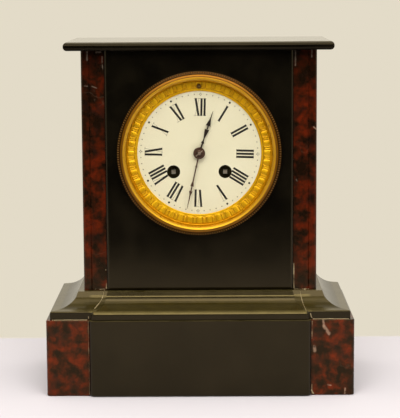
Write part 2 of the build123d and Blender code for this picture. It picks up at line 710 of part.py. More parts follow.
def barrel(at, other):
    drum = gear(at, BARREL_TEETH, BARREL_MODULE, BARREL_AT, BARREL_AT + BARREL_FACE, bearing(at, other))
    drum += rod(at, BARREL_R, BARREL_AT + BARREL_FACE, BARREL_BACK)
    drum -= rod(at, BARREL_R - BARREL_WALL, BARREL_AT + BARREL_FACE, BARREL_BACK - BARREL_WALL)
    return drum - rod(at, ARBOR_R + RUN, BARREL_AT - 1, BARREL_BACK + 1)


def mainspring(at):
    """A flat spring wound in even turns between the arbor and the barrel wall."""
    inner = ARBOR_R + 1.4
    outer = BARREL_R - BARREL_WALL - SPRING_THICK - 0.5
    steps = SPRING_TURNS * 8
    near_side, far_side = [], []
    for k in range(steps + 1):
        r = inner + (outer - inner) * k / steps
        angle = 45.0 * k
        near_side.append(polar(at, r, angle))
        far_side.append(polar(at, r + SPRING_THICK, angle))
    coil = Spline(*near_side) + Line(near_side[-1], far_side[-1]) + Spline(*far_side)
    coil += Line(near_side[0], far_side[0])
    return plate(make_face(coil), BARREL_AT + BARREL_FACE + 0.2, BARREL_BACK - BARREL_WALL - 0.2)


def winding_arbor(at):
    shaft = rod(at, ARBOR_R, PLATE_DEPTH, PLATE_BACK)
    shaft += rod(at, ARBOR_R + 1.0, BARREL_AT + BARREL_FACE + 0.3, BARREL_BACK - BARREL_WALL - 0.3)
    teeth = []
    for k in range(RATCHET_TEETH):
        teeth.append(polar(at, RATCHET_R, 360 * k / RATCHET_TEETH))
        teeth.append(polar(at, RATCHET_R - 1.3, 360 * (k + 0.12) / RATCHET_TEETH))
    ratchet = make_face(Polyline(*teeth, close=True))
    shaft += plate(ratchet, RATCHET_AT, RATCHET_AT + RATCHET_THICK)
    shaft += rod(at, ARBOR_R, RATCHET_AT + RATCHET_THICK, PLATE_DEPTH)
    return shaft + plate(Pos(*at) * Rectangle(SQUARE, SQUARE), DIAL_FACE - SQUARE_PROUD, RATCHET_AT)


def click(at, side):
    pivot = click_place(at, side)
    back = bearing(pivot, at)
    tip = polar(at, RATCHET_R + 0.15, bearing(at, pivot) + side * 40)
    root = polar(pivot, 2.4, back + 150 * side)
    heel = polar(pivot, 2.4, back - 60 * side)
    shape = Pos(*pivot) * Circle(2.4)
    shape += make_face(Polyline(root, tip, heel, close=True))
    shape -= Pos(*pivot) * Circle(1.2 + RUN)
    clear = Pos(*at) * Circle(RATCHET_R + 0.15)
    return plate(shape - clear, RATCHET_AT, RATCHET_AT + RATCHET_THICK)


# Going train

def intermediate_wheel():
    wheel = gear(INTER, INTER_TEETH, INTER_MODULE, INTER_AT, INTER_AT + WHEEL_THICK, bearing(INTER, CENTRE))
    wheel -= crossings(INTER, 4.2, 12.0, 5, INTER_AT, INTER_AT + WHEEL_THICK)
    wheel += driven(INTER, BARREL_PINION, BARREL_MODULE, INTER_AT + WHEEL_THICK, BARREL_AT + 3.1, GOING)
    return wheel + arbor("inter")


def centre_wheel():
    wheel = gear(CENTRE, CENTRE_TEETH, CENTRE_MODULE, CENTRE_AT, CENTRE_AT + WHEEL_THICK, bearing(CENTRE, THIRD))
    wheel -= crossings(CENTRE, 4.2, 12.2, 5, CENTRE_AT, CENTRE_AT + WHEEL_THICK)
    near = INTER_AT - PINION_SIDE
    wheel += driven(CENTRE, CENTRE_PINION, INTER_MODULE, near, INTER_AT + WHEEL_THICK + PINION_SIDE, INTER)
    return wheel + rod(CENTRE, CENTRE_R, MINUTE_HAND_AT + HAND_THICK, PLATE_BACK)


def third_wheel():
    wheel = gear(THIRD, THIRD_TEETH, THIRD_MODULE, THIRD_AT, THIRD_AT + WHEEL_THICK, bearing(THIRD, ESCAPE))
    wheel -= crossings(THIRD, 3.6, 11.0, 5, THIRD_AT, THIRD_AT + WHEEL_THICK)
    wheel += driven(THIRD, THIRD_PINION, CENTRE_MODULE, CENTRE_AT - PINION_SIDE, THIRD_AT, CENTRE)
    return wheel + arbor("third")


def escape_wheel():
    teeth = []
    for k in range(ESCAPE_TEETH):
        teeth.append(polar(ESCAPE, ESCAPE_R, 360 * k / ESCAPE_TEETH))
        teeth.append(polar(ESCAPE, ESCAPE_R - 1.4, 360 * (k + 0.3) / ESCAPE_TEETH))
    wheel = plate(make_face(Polyline(*teeth, close=True)), ESCAPE_AT, ESCAPE_AT + WHEEL_THICK)
    wheel -= crossings(ESCAPE, 3.0, 8.0, 4, ESCAPE_AT, ESCAPE_AT + WHEEL_THICK)
    near, far = THIRD_AT - PINION_SIDE, THIRD_AT + WHEEL_THICK + PINION_SIDE
    return wheel + driven(ESCAPE, ESCAPE_PINION, THIRD_MODULE, near, far, THIRD) + arbor("escape")


def anchor():
    """Pallets on their arbor, and the crutch that leads the pendulum."""
    reach = ESCAPE_R + PALLET_CLEAR
    left = [polar(ESCAPE, reach, 143), polar(ESCAPE, reach + 1.6, 143), (-1.6, ANCHOR_HEIGHT + 1.6)]
    left += [(-1.6, ANCHOR_HEIGHT - 1.6), polar(ESCAPE, reach + 1.0, 125)]
    arm = make_face(Polyline(*left, close=True))
    pallets = arm + mirror(arm, about=Plane.YZ) + Pos(*ANCHOR) * Circle(2.4)
    shape = plate(pallets - Pos(*ESCAPE) * Circle(reach), ESCAPE_AT, ESCAPE_AT + WHEEL_THICK)
    at, r, pivot = ARBORS["anchor"]
    shape += rod(at, pivot, PLATE_DEPTH, TRAIN + 1) + rod(at, r, TRAIN + RUN, COCK_NEAR - RUN)
    shape += rod(at, pivot, COCK_NEAR - 1, COCK_NEAR + 2)
    crutch = PLATE_BACK + 2.0
    foot = ANCHOR_HEIGHT - 26
    shape += plate(Pos(*ANCHOR) * Circle(2.2), crutch, crutch + 2)
    shape += plate(Pos(0, (ANCHOR_HEIGHT + foot) / 2) * Rectangle(1.8, ANCHOR_HEIGHT - foot + 1.8), crutch, crutch + 1.4)
    fork = Pos(0, foot) * Rectangle(2 * ROD_R + 3.4, 1.8)
    shape += plate(fork, crutch, PENDULUM_DEPTH - ROD_R - 0.3)
    for sign in (-1, 1):
        prong = Pos(sign * (ROD_R + 1.0), foot) * Rectangle(1.4, 1.8)
        shape += plate(prong, PENDULUM_DEPTH - ROD_R - 0.3, PENDULUM_DEPTH + ROD_R)
    return shape


# Pendulum and its suspension

SPRING_FOOT = ANCHOR_HEIGHT - 9.0
CHOP = 3.0


def back_cock():
    top = REGULATOR_HEIGHT + 4
    low = ANCHOR_HEIGHT - 4
    bridge = Pos(0, (top + low) / 2) * Rectangle(2 * COCK_HALF, top - low)
    cock = plate(bridge, COCK_NEAR, COCK_FAR)
    for sign in (-1, 1):
        leg = Pos(sign * (COCK_HALF - 2), ANCHOR_HEIGHT + 3) * Rectangle(4, 6)
        cock += plate(leg, PLATE_BACK, COCK_NEAR)
        jaw = Pos(sign * (CHOP / 2 + 0.35), ANCHOR_HEIGHT + 1.5) * Rectangle(CHOP, 5)
        cock += plate(jaw, COCK_FAR, PENDULUM_DEPTH + 2.5)
    cap = Pos(0, ANCHOR_HEIGHT + 5) * Rectangle(2 * CHOP + 0.7, 2)
    cock += plate(cap, COCK_FAR, PENDULUM_DEPTH + 2.5)
    cock -= rod(ANCHOR, ARBORS["anchor"][2] + RUN, COCK_NEAR - 1, COCK_NEAR + 2.2)
    return cock - rod(REGULATOR, REGULATOR_R + RUN, COCK_NEAR - 1, COCK_FAR + 1)


def suspension_spring():
    top = ANCHOR_HEIGHT + 3.7
    strip = Pos(0, (top + SPRING_FOOT) / 2) * Rectangle(0.2, top - SPRING_FOOT)
    return plate(strip, PENDULUM_DEPTH - 2, PENDULUM_DEPTH + 2)


def pendulum_rod():
    bob = ANCHOR_HEIGHT - PENDULUM_LENGTH
    head = Pos(0, SPRING_FOOT - 2) * Rectangle(5, 6)
    head = plate(head, PENDULUM_DEPTH - 2.2, PENDULUM_DEPTH + 2.2)
    head -= plate(Pos(0, SPRING_FOOT + 1) * Rectangle(0.2, 2), PENDULUM_DEPTH - 3, PENDULUM_DEPTH + 3)
    shaft = upright(0, PENDULUM_DEPTH, ROD_R, DIAL_Z + bob - BOB_R - 4, DIAL_Z + SPRING_FOOT - 3)
    return head + shaft


def pendulum_bob():
    """A lens-shaped weight with a hole for the rod."""
    at = (0.0, ANCHOR_HEIGHT - PENDULUM_LENGTH)
    half = BOB_THICK / 2
    plane = Plane((0, PENDULUM_DEPTH - DEPTH_ZERO, DIAL_Z + at[1]), x_dir=(1, 0, 0), z_dir=(0, 0, 1))
    bulge = (BOB_R * 0.55, half * 0.78)
    half_lens = Line((0, -half), (0, half)) + ThreePointArc((0, half), bulge, (BOB_R, 0.6))
    half_lens += Line((BOB_R, 0.6), (BOB_R, -0.6))
    half_lens += ThreePointArc((BOB_R, -0.6), (bulge[0], -bulge[1]), (0, -half))
    lens = revolve(plane * make_face(half_lens), axis=Axis((0, 0, DIAL_Z + at[1]), (0, 1, 0)))
    return lens - upright(0, PENDULUM_DEPTH, ROD_R, DIAL_Z + at[1] - BOB_R - 9, DIAL_Z + at[1] + BOB_R + 9)


def regulator_arbor():
    shaft = rod(REGULATOR, REGULATOR_R, DIAL_BACK - 1.0, COCK_FAR + 0.5)
    square = Pos(*REGULATOR) * Rectangle(1.3, 1.3)
    shaft += plate(square, DIAL_FACE - 2.0, DIAL_BACK - 1.0)
    return shaft + rod(REGULATOR, 2.4, COCK_NEAR - 2.0, COCK_NEAR - RUN)


# Striking train

def strike_second_wheel():
    wheel = gear(SECOND, SECOND_TEETH, SECOND_MODULE, INTER_AT, INTER_AT + WHEEL_THICK, bearing(SECOND, PIN))
    wheel -= crossings(SECOND, 4.2, 13.8, 5, INTER_AT, INTER_AT + WHEEL_THICK)
    wheel += driven(SECOND, BARREL_PINION, BARREL_MODULE, INTER_AT + WHEEL_THICK, BARREL_AT + 3.1, STRIKE)
    at, r, pivot = ARBORS["second"]
    wheel += rod(at, pivot, PLATE_DEPTH, TRAIN + 1)
    return wheel + rod(at, r, TRAIN + RUN, PLATE_BACK + 2.6)


def count_wheel():
    """A disc whose rim has a notch after each hour's blows, and one blow more for the half hour."""
    disc = Circle(COUNT_R)
    blows = 0
    for hour in range(1, 13):
        blows += hour + 1
        disc -= Rot(0, 0, 360 * blows / 90) * Pos(COUNT_R, 0) * Rectangle(4, 1.2)
    disc -= Circle(ARBORS["second"][1])
    return plate(Pos(*SECOND) * disc, PLATE_BACK + 1.2, PLATE_BACK + 2.6)


def pin_wheel():
    far = CENTRE_AT + WHEEL_THICK
    wheel = gear(PIN, PIN_TEETH, PIN_MODULE, CENTRE_AT, far, bearing(PIN, WARNING))
    for k in range(10):
        wheel += rod(polar(PIN, 7.6, 36 * k), 0.4, CENTRE_AT - 1.8, CENTRE_AT)
    near = INTER_AT - PINION_SIDE
    wheel += driven(PIN, PIN_PINION, SECOND_MODULE, near, INTER_AT + WHEEL_THICK + PINION_SIDE, SECOND)
    return wheel + arbor("pin")


def warning_wheel():
    far = WARNING_AT + WHEEL_THICK
    wheel = gear(WARNING, WARNING_TEETH, WARNING_MODULE, WARNING_AT, far, bearing(WARNING, FLY))
    wheel -= crossings(WARNING, 2.6, 6.6, 4, WARNING_AT, far)
    near = CENTRE_AT - PINION_SIDE
    wheel += driven(WARNING, WARNING_PINION, PIN_MODULE, near, CENTRE_AT + WHEEL_THICK + PINION_SIDE, PIN)
    return wheel + arbor("warning")


def fly():
    near = WARNING_AT - PINION_SIDE
    vane = plate(Pos(*FLY) * Rectangle(2 * FLY_R, 0.8), TRAIN + 4, TRAIN + 17)
    vane += rod(FLY, 1.6, TRAIN + 4, TRAIN + 17)
    vane += driven(FLY, FLY_PINION, WARNING_MODULE, near, WARNING_AT + WHEEL_THICK + PINION_SIDE, WARNING)
    return vane + arbor("fly")


def hammer():
    at, r, pivot = ARBORS["hammer"]
    near = BELL_MOUTH + 2.0
    shape = rod(at, pivot, PLATE_DEPTH, TRAIN + 1) + rod(at, r, TRAIN + RUN, near + 2.4)
    head_far = BELL[0] - BELL_R - HAMMER_GAP
    middle = (head_far - 4.0, BELL[1])
    length = hypot(middle[0] - at[0], middle[1] - at[1])
    arm = Pos((at[0] + middle[0]) / 2, (at[1] + middle[1]) / 2) * Rot(0, 0, bearing(at, middle)) * Rectangle(length, 2.2)
    shape += plate(Pos(*at) * Circle(2.6) + arm, near, near + 2.4)
    head = Pos(middle[0], near + 1.2 - DEPTH_ZERO, DIAL_Z + middle[1]) * Rot(0, 90, 0) * Cylinder(3.6, 8.0)
    tail = polar(PIN, 7.6 + 0.9, bearing(PIN, at))
    length = hypot(tail[0] - at[0], tail[1] - at[1])
    lever = Pos((at[0] + tail[0]) / 2, (at[1] + tail[1]) / 2) * Rot(0, 0, bearing(at, tail)) * Rectangle(length, 1.2)
    return shape + head + plate(Pos(*at) * Circle(2.0) + lever, CENTRE_AT - 1.6, CENTRE_AT - 0.5)


def bell():
    """A shallow bowl whose mouth faces the plates."""
    plane = Plane((BELL[0], -DEPTH_ZERO, DIAL_Z + BELL[1]), x_dir=(1, 0, 0), z_dir=(0, 0, 1))
    inner_r, inner_far = BELL_R - BELL_WALL, BELL_CROWN - BELL_WALL
    flat = STAND_R + BELL_FLAT
    ends = ((0, 1), (-1, 0))
    section = Spline((BELL_R, BELL_MOUTH), (flat, BELL_CROWN), tangents=ends)
    section += Spline((inner_r, BELL_MOUTH), (flat, inner_far), tangents=ends)
    section += Line((BELL_R, BELL_MOUTH), (inner_r, BELL_MOUTH))
    section += Line((flat, BELL_CROWN), (STAND_R, BELL_CROWN)) + Line((flat, inner_far), (STAND_R, inner_far))
    section += Line((STAND_R, BELL_CROWN), (STAND_R, inner_far))
    return revolve(plane * make_face(section), axis=Axis((BELL[0], 0, DIAL_Z + BELL[1]), (0, 1, 0)))


def bell_stand():
    near, far = BELL_CROWN, BELL_CROWN + 2.5
    length = hypot(STAND[0] - BELL[0], STAND[1] - BELL[1])
    middle = Pos((STAND[0] + BELL[0]) / 2, (STAND[1] + BELL[1]) / 2)
    arm = middle * Rot(0, 0, bearing(BELL, STAND)) * Rectangle(length, 2 * STAND_R)
    arm += Pos(*STAND) * Circle(STAND_R) + Pos(*BELL) * Circle(STAND_R + 1.5)
    stand = plate(arm, near, far) + rod(STAND, STAND_R, PLATE_BACK, far)
    stand += rod(BELL, STAND_R, BELL_CROWN - BELL_WALL - 2, near)
    return stand + rod(BELL, STAND_R + 1.2, BELL_CROWN - BELL_WALL - 2, BELL_CROWN - BELL_WALL)


# Back ring, door and screws

def back_ring():
    inner = BACK_HOLE - FRAME_WALL
    near = BASE_DEPTH - BACK_TUBE
    ring = turned(CENTRE, [
        (BACK_RING_IN, BASE_DEPTH), (inner, BASE_DEPTH), (inner, near), (BACK_HOLE, near),
        (BACK_HOLE, BASE_DEPTH), (BACK_RING_OUT, BASE_DEPTH), (BACK_RING_OUT, BACK_FACE), (BACK_RING_IN, BACK_FACE),
    ])
    for sign in (-1, 1):
        low, high = sorted((sign * (BACK_HINGE_DOOR_HALF + KNUCKLE_GAP), sign * BACK_HINGE_HALF))
        ring += block(BACK_DOOR_R - 3, BACK_HINGE_X, BASE_DEPTH, BACK_FACE, DIAL_Z + low, DIAL_Z + high)
        ring += upright(BACK_HINGE_X, BACK_HINGE_DEPTH, KNUCKLE_R, DIAL_Z + low, DIAL_Z + high)
    low, high = DIAL_Z - BACK_HINGE_HALF - 1, DIAL_Z + BACK_HINGE_HALF + 1
    ring -= upright(BACK_HINGE_X, BACK_HINGE_DEPTH, PIN_R, low, high)
    reach = BACK_HINGE_DOOR_HALF + KNUCKLE_GAP
    ring -= block(BACK_DOOR_R, BACK_HINGE_X + 3, BASE_DEPTH + 0.2, BACK_FACE + 5, DIAL_Z - reach, DIAL_Z + reach)
    for at in SCREWS:
        ring -= rod(at, SCREW_R, BASE_DEPTH - 1, BACK_FACE + 1)
    return ring


def back_door():
    near = BACK_FACE + DOOR_GAP
    far = BACK_DOOR_NEAR + BACK_DOOR_THICK
    door = turned(CENTRE, [
        (0, BACK_DOOR_NEAR), (BACK_DOOR_R - BACK_DOOR_THICK, BACK_DOOR_NEAR), (BACK_DOOR_R - BACK_DOOR_THICK, near),
        (BACK_DOOR_R, near), (BACK_DOOR_R, far), (0, far),
    ])
    low, high = DIAL_Z - BACK_HINGE_DOOR_HALF, DIAL_Z + BACK_HINGE_DOOR_HALF
    door += block(BACK_DOOR_R - 1, BACK_HINGE_X, BACK_HINGE_DEPTH, BACK_HINGE_DEPTH + KNUCKLE_R, low, high)
    door += upright(BACK_HINGE_X, BACK_HINGE_DEPTH, KNUCKLE_R, low, high)
    door -= upright(BACK_HINGE_X, BACK_HINGE_DEPTH, PIN_R + RUN, low - 1, high + 1)
    return door + rod((KNOB_X, 0), KNOB_R, far, far + KNOB_LENGTH)


def back_hinge_pin():
    low, high = DIAL_Z - BACK_HINGE_HALF - 0.6, DIAL_Z + BACK_HINGE_HALF + 0.6
    return upright(BACK_HINGE_X, BACK_HINGE_DEPTH, PIN_R, low, high)


def case_screws():
    screws = []
    for at in SCREWS:
        screw = rod(at, SCREW_R, PLATE_DEPTH - FLANGE, BACK_FACE) + rod(at, SCREW_HEAD, BACK_FACE, BACK_FACE + 1.8)
        slot = Pos(*at) * Rectangle(2 * SCREW_HEAD, 0.8)
        screws.append(screw - plate(slot, BACK_FACE + 1.0, BACK_FACE + 3))
    return Compound(children=screws)


# Every piece, by its name

def pieces():
    made = {
        "base_front_panel": base_front_panel(),
        "base_back_panel": base_back_panel(),
        "moulding_slab": moulding_slab(),
        "front_panel": front_panel(),
        "back_panel": back_panel(),
        "top_slab": top_slab(),
        "bezel_frame": bezel_frame(),
        "sight_ring": sight_ring(),
        "dial": dial(),
        "bezel_door": bezel_door(),
        "bezel_glass": bezel_glass(),
        "bezel_hinge_pin": bezel_hinge_pin(),
        "hour_hand": hour_hand(),
        "minute_hand": minute_hand(),
        "hand_collet": hand_collet(),
        "cannon_pinion": cannon_pinion(),
        "minute_wheel": minute_wheel(),
        "hour_wheel": hour_wheel(),
        "front_plate": front_plate(),
        "back_plate": back_plate(),
        "intermediate_wheel": intermediate_wheel(),
        "centre_wheel": centre_wheel(),
        "third_wheel": third_wheel(),
        "escape_wheel": escape_wheel(),
        "anchor": anchor(),
        "back_cock": back_cock(),
        "suspension_spring": suspension_spring(),
        "pendulum_rod": pendulum_rod(),
        "pendulum_bob": pendulum_bob(),
        "regulator_arbor": regulator_arbor(),
        "strike_second_wheel": strike_second_wheel(),
        "count_wheel": count_wheel(),
        "pin_wheel": pin_wheel(),
        "warning_wheel": warning_wheel(),
        "fly": fly(),
        "hammer": hammer(),
        "bell": bell(),
        "bell_stand": bell_stand(),
        "back_ring": back_ring(),
        "back_door": back_door(),
        "back_hinge_pin": back_hinge_pin(),
        "case_screws": case_screws(),
    }
    pairs = {
        "base_end": base_end(),
        "base_side": base_side(),
        "pilaster_slip": pilaster_slip(),
        "corner_post": corner_post(),
        "side_slab": side_slab(),
    }
    for name, right in pairs.items():
        made[name + "_right"] = right
        made[name + "_left"] = mirror_x(right)
    for name, at, other, side in (("going", GOING, INTER, 1), ("strike", STRIKE, SECOND, -1)):
        made[name + "_barrel"] = barrel(at, other)
        made[name + "_mainspring"] = mainspring(at)
        made[name + "_arbor"] = winding_arbor(at)
        made[name + "_click"] = click(at, side)
    return made


os.makedirs("parts", exist_ok=True)
for name, shape in pieces().items():
    export_step(shape, os.path.join("parts", name + ".step"))
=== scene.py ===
import math
import random

import bmesh
import bpy
from mathutils import Matrix, Vector
from mathutils.bvhtree import BVHTree


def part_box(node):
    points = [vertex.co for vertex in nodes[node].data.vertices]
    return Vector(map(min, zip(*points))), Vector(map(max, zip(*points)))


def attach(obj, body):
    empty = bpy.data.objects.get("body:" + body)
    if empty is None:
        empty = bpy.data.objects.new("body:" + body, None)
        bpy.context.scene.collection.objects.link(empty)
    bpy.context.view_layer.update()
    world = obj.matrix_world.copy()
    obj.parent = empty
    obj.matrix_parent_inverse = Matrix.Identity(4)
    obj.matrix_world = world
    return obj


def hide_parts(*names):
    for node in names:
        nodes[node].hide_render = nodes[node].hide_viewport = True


# A shelf clock in black slate and red marble. Lengths in this script are millimetres until they are
# placed, apart from the table's size and the lamps, which are in metres. X is the clock's width, Z is up
# and the dial faces -Y. A depth is measured back from the front of the base end blocks.

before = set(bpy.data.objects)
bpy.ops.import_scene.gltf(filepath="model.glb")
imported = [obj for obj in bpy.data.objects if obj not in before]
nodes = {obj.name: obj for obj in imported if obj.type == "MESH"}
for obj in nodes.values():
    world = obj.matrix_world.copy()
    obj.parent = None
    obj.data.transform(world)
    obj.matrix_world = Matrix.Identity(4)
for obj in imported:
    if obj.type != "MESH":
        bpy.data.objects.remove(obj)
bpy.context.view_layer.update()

MM = 0.001


def measured(name):
    """The lowest and the highest corner of a solid, in millimetres."""
    low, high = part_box(name)
    return [round(v / MM, 3) for v in low], [round(v / MM, 3) for v in high]


def middle_of(name):
    """The middle of a solid's box, in millimetres."""
    low, high = measured(name)
    return [round((a + b) / 2, 3) for a, b in zip(low, high)]


DEPTH_ZERO = -measured("base_end_left")[0][1]
DIAL_FACE = DEPTH_ZERO + measured("dial")[0][1]
DIAL_Z = middle_of("dial")[2]
TOP_Z = measured("top_slab")[1][2]
BREAK_X = measured("base_front_panel")[1][0]
HOLE_X = middle_of("going_arbor")[0]
HOLE_DROP = DIAL_Z - middle_of("going_arbor")[2]
REGULATOR_REACH = middle_of("regulator_arbor")[2] - DIAL_Z


def spot(x, depth, z):
    """A place on the clock, in metres."""
    return Vector((x, depth - DEPTH_ZERO, z)) * MM


# Node trees

# Sockets of a Mix node that mixes colours: the share, the two colours and the result
MIX_SHARE, MIX_FIRST, MIX_SECOND, MIX_RESULT = 0, 6, 7, 2


class Shade:
    """A shader value. Sums written with it become Math nodes."""

    def __init__(self, work, socket):
        self.work = work
        self.socket = socket

    def sum(self, operation, first, second=0.0):
        return self.work.node("ShaderNodeMath", {"operation": operation}, {0: first, 1: second})

    def __add__(self, other):
        return self.sum("ADD", self, other)

    __radd__ = __add__

    def __sub__(self, other):
        return self.sum("SUBTRACT", self, other)

    def __rsub__(self, other):
        return self.sum("SUBTRACT", other, self)

    def __mul__(self, other):
        return self.sum("MULTIPLY", self, other)

    def __truediv__(self, other):
        return self.sum("DIVIDE", self, other)

    def __pow__(self, other):
        return self.sum("POWER", self, other)

    def __abs__(self):
        return self.sum("ABSOLUTE", self)

    def least(self, other):
        return self.sum("MINIMUM", self, other)

    def most(self, other):
        return self.sum("MAXIMUM", self, other)


class NodeWork:
    """A node tree that is built from nothing."""

    def __init__(self, tree):
        self.tree = tree
        tree.nodes.clear()

    def node(self, kind, settings=(), sockets=(), out=0):
        """Adds a node: its settings first, then the values or links of its sockets."""
        made = self.tree.nodes.new(kind)
        for key, value in dict(settings).items():
            if key == "stops":
                self.fill(made.color_ramp.elements, value)
            else:
                setattr(made, key, value)
        for key, value in dict(sockets).items():
            self.feed(made.inputs[key], value)
        return Shade(self, made.outputs[out]) if made.outputs else None

    def feed(self, socket, value):
        """Links a shader value to a socket, or sets a number or a colour on it."""
        if isinstance(value, Shade):
            self.tree.links.new(value.socket, socket)
        elif socket.type == "RGBA":
            socket.default_value = (*value, 1.0)
        else:
            socket.default_value = value

    def fill(self, elements, stops):
        """Sets the stops of a colour ramp."""
        while len(elements) < len(stops):
            elements.new(1.0)
        for element, (place, colour) in zip(elements, stops):
            element.position = place
            element.color = (*colour, 1.0)

    def axes(self, vector):
        """The X, Y and Z of a vector."""
        parts = self.node("ShaderNodeSeparateXYZ", {}, {0: vector}).socket.node
        return [Shade(self, part) for part in parts.outputs]

    def band(self, value, low, high):
        """0 below low and 1 above high, smooth between. Low may be the greater."""
        return self.node("ShaderNodeMapRange", {"interpolation_type": "SMOOTHSTEP"}, {
            "Value": value, "From Min": low, "From Max": high,
        })

    def blend(self, share, first, second):
        """Mixes two colours."""
        return self.node("ShaderNodeMix", {"data_type": "RGBA"}, {
            MIX_SHARE: share, MIX_FIRST: first, MIX_SECOND: second,
        }, MIX_RESULT)


class Finish(NodeWork):
    """A material on one principled shader, with the few patterns that the clock needs."""

    def __init__(self, name):
        self.material = bpy.data.materials.new(name)
        self.material.use_nodes = True
        super().__init__(self.material.node_tree)
        self.shader = self.tree.nodes.new("ShaderNodeBsdfPrincipled")
        self.output = self.tree.nodes.new("ShaderNodeOutputMaterial")
        self.tree.links.new(self.shader.outputs[0], self.output.inputs[0])
        self.place = self.node("ShaderNodeTexCoord", out="Object")
        self.x, self.y, self.z = (axis / MM for axis in self.axes(self.place))

    def depth(self):
        """Depth behind the front of the base end blocks."""
        return self.y + DEPTH_ZERO

    def reach(self):
        """Distance from the dial's axis."""
        rise = self.z - DIAL_Z
        return (self.x * self.x + rise * rise) ** 0.5

    def facing(self):
        """How far a surface faces along X, Y and Z, each from -1 to 1."""
        return self.axes(self.node("ShaderNodeNewGeometry", out="Normal"))

    def noise(self, size, detail=3.0, rough=0.55, place=None, out=0):
        """Cloudy noise whose lumps are about this many millimetres across."""
        return self.node("ShaderNodeTexNoise", {}, {
            "Vector": place or self.place, "Scale": 1.0 / (size * MM), "Detail": detail, "Roughness": rough,
        }, out)

    def cells(self, size):
        """Distance to the nearest of scattered points, which are about this many millimetres apart."""
        sockets = {"Vector": self.place, "Scale": 1.0 / (size * MM)}
        return self.node("ShaderNodeTexVoronoi", {}, sockets, "Distance")

    def ramp(self, value, *stops):
        """Colours along a value, each stop as (place, colour)."""
        return self.node("ShaderNodeValToRGB", {"stops": stops}, {0: value})

    def stretched(self, x=1.0, y=1.0, z=1.0):
        """Object coordinates stretched along the axes."""
        return self.node("ShaderNodeMapping", {}, {"Vector": self.place, "Scale": (x, y, z)})

    def vector(self, operation, sockets):
        """A sum of vectors."""
        return self.node("ShaderNodeVectorMath", {"operation": operation}, sockets)

    def warped(self, size, reach):
        """Object coordinates pushed about by noise, reach in millimetres."""
        push = self.noise(size, 2.0, out="Color")
        push = self.vector("SUBTRACT", {0: push, 1: (0.5, 0.5, 0.5)})
        push = self.vector("SCALE", {0: push, "Scale": reach * MM})
        return self.vector("ADD", {0: self.place, 1: push})

    def streak(self, x0, z0, x1, z1, width):
        """1 on a line drawn on the front between two places, 0 a width away from it."""
        way = Vector((x1 - x0, z1 - z0))
        along = ((self.x - x0) * way.x + (self.z - z0) * way.y) / way.length_squared
        along = along.most(0.0).least(1.0)
        off_x = self.x - x0 - along * way.x
        off_z = self.z - z0 - along * way.y
        off = (off_x * off_x + off_z * off_z) ** 0.5
        return self.band(off, width, width * 0.3)

    def bump(self, height, depth, strength):
        """Small relief: a height from 0 to 1 and its depth in millimetres."""
        return self.node("ShaderNodeBump", {}, {
            "Height": height, "Distance": depth * MM, "Strength": strength,
        }, "Normal")

    def wear(self, **sockets):
        """Sets the shader's own sockets, named with _ for a space."""
        for key, value in sockets.items():
            self.feed(self.shader.inputs[key.replace("_", " ")], value)
        return self.material


# Finishes of the stones

WAX_TINT = (1.0, 0.80, 0.45)

# Heights between which the moulding's rounded edges carry a painted highlight
EDGE_HIGHLIGHTS = ((77.2, 79.0), (67.4, 69.3))

# Marks on the marble's front, each a line from x0, z0 to x1, z1 with its width
SMEARS = (
    (-90.3, 279.0, -90.4, 271.5, 1.0),
    (-83.0, 277.5, -79.5, 277.8, 1.0),
    (-78.2, 274.0, -77.9, 264.0, 0.7),
    (78.3, 278.0, 78.2, 266.0, 0.8),
    (91.5, 278.5, 91.5, 273.0, 0.9),
    (-92.6, 250.6, -90.4, 250.2, 0.7),
    (-87.0, 250.2, -83.0, 248.8, 0.7),
    (79.2, 173.2, 79.8, 172.0, 0.8),
)
CHIPS = (
    (93.2, 216.2, 95.7, 213.9, 0.8),
    (99.6, 62.0, 100.2, 57.0, 1.2),
    (100.2, 57.0, 104.5, 50.8, 1.9),
    (92.5, 40.2, 92.8, 36.8, 1.8),
    (117.6, 5.5, 117.4, 0.3, 0.9),
    (103.5, 8.6, 106.0, 8.0, 0.8),
)
MARKS = ((SMEARS, 0.5, (0.16, 0.13, 0.10)), (CHIPS, 0.7, (0.30, 0.19, 0.135)))

# Heights over which the marble darkens: above the base, then twice more toward the top slab as painted shadow
# of the slab
ABOVE_BASE = (70.0, 95.0)
SLAB_SHADOW_WIDE = (225.0, 262.0)
SLAB_SHADOW_CLOSE = (254.0, 264.0)


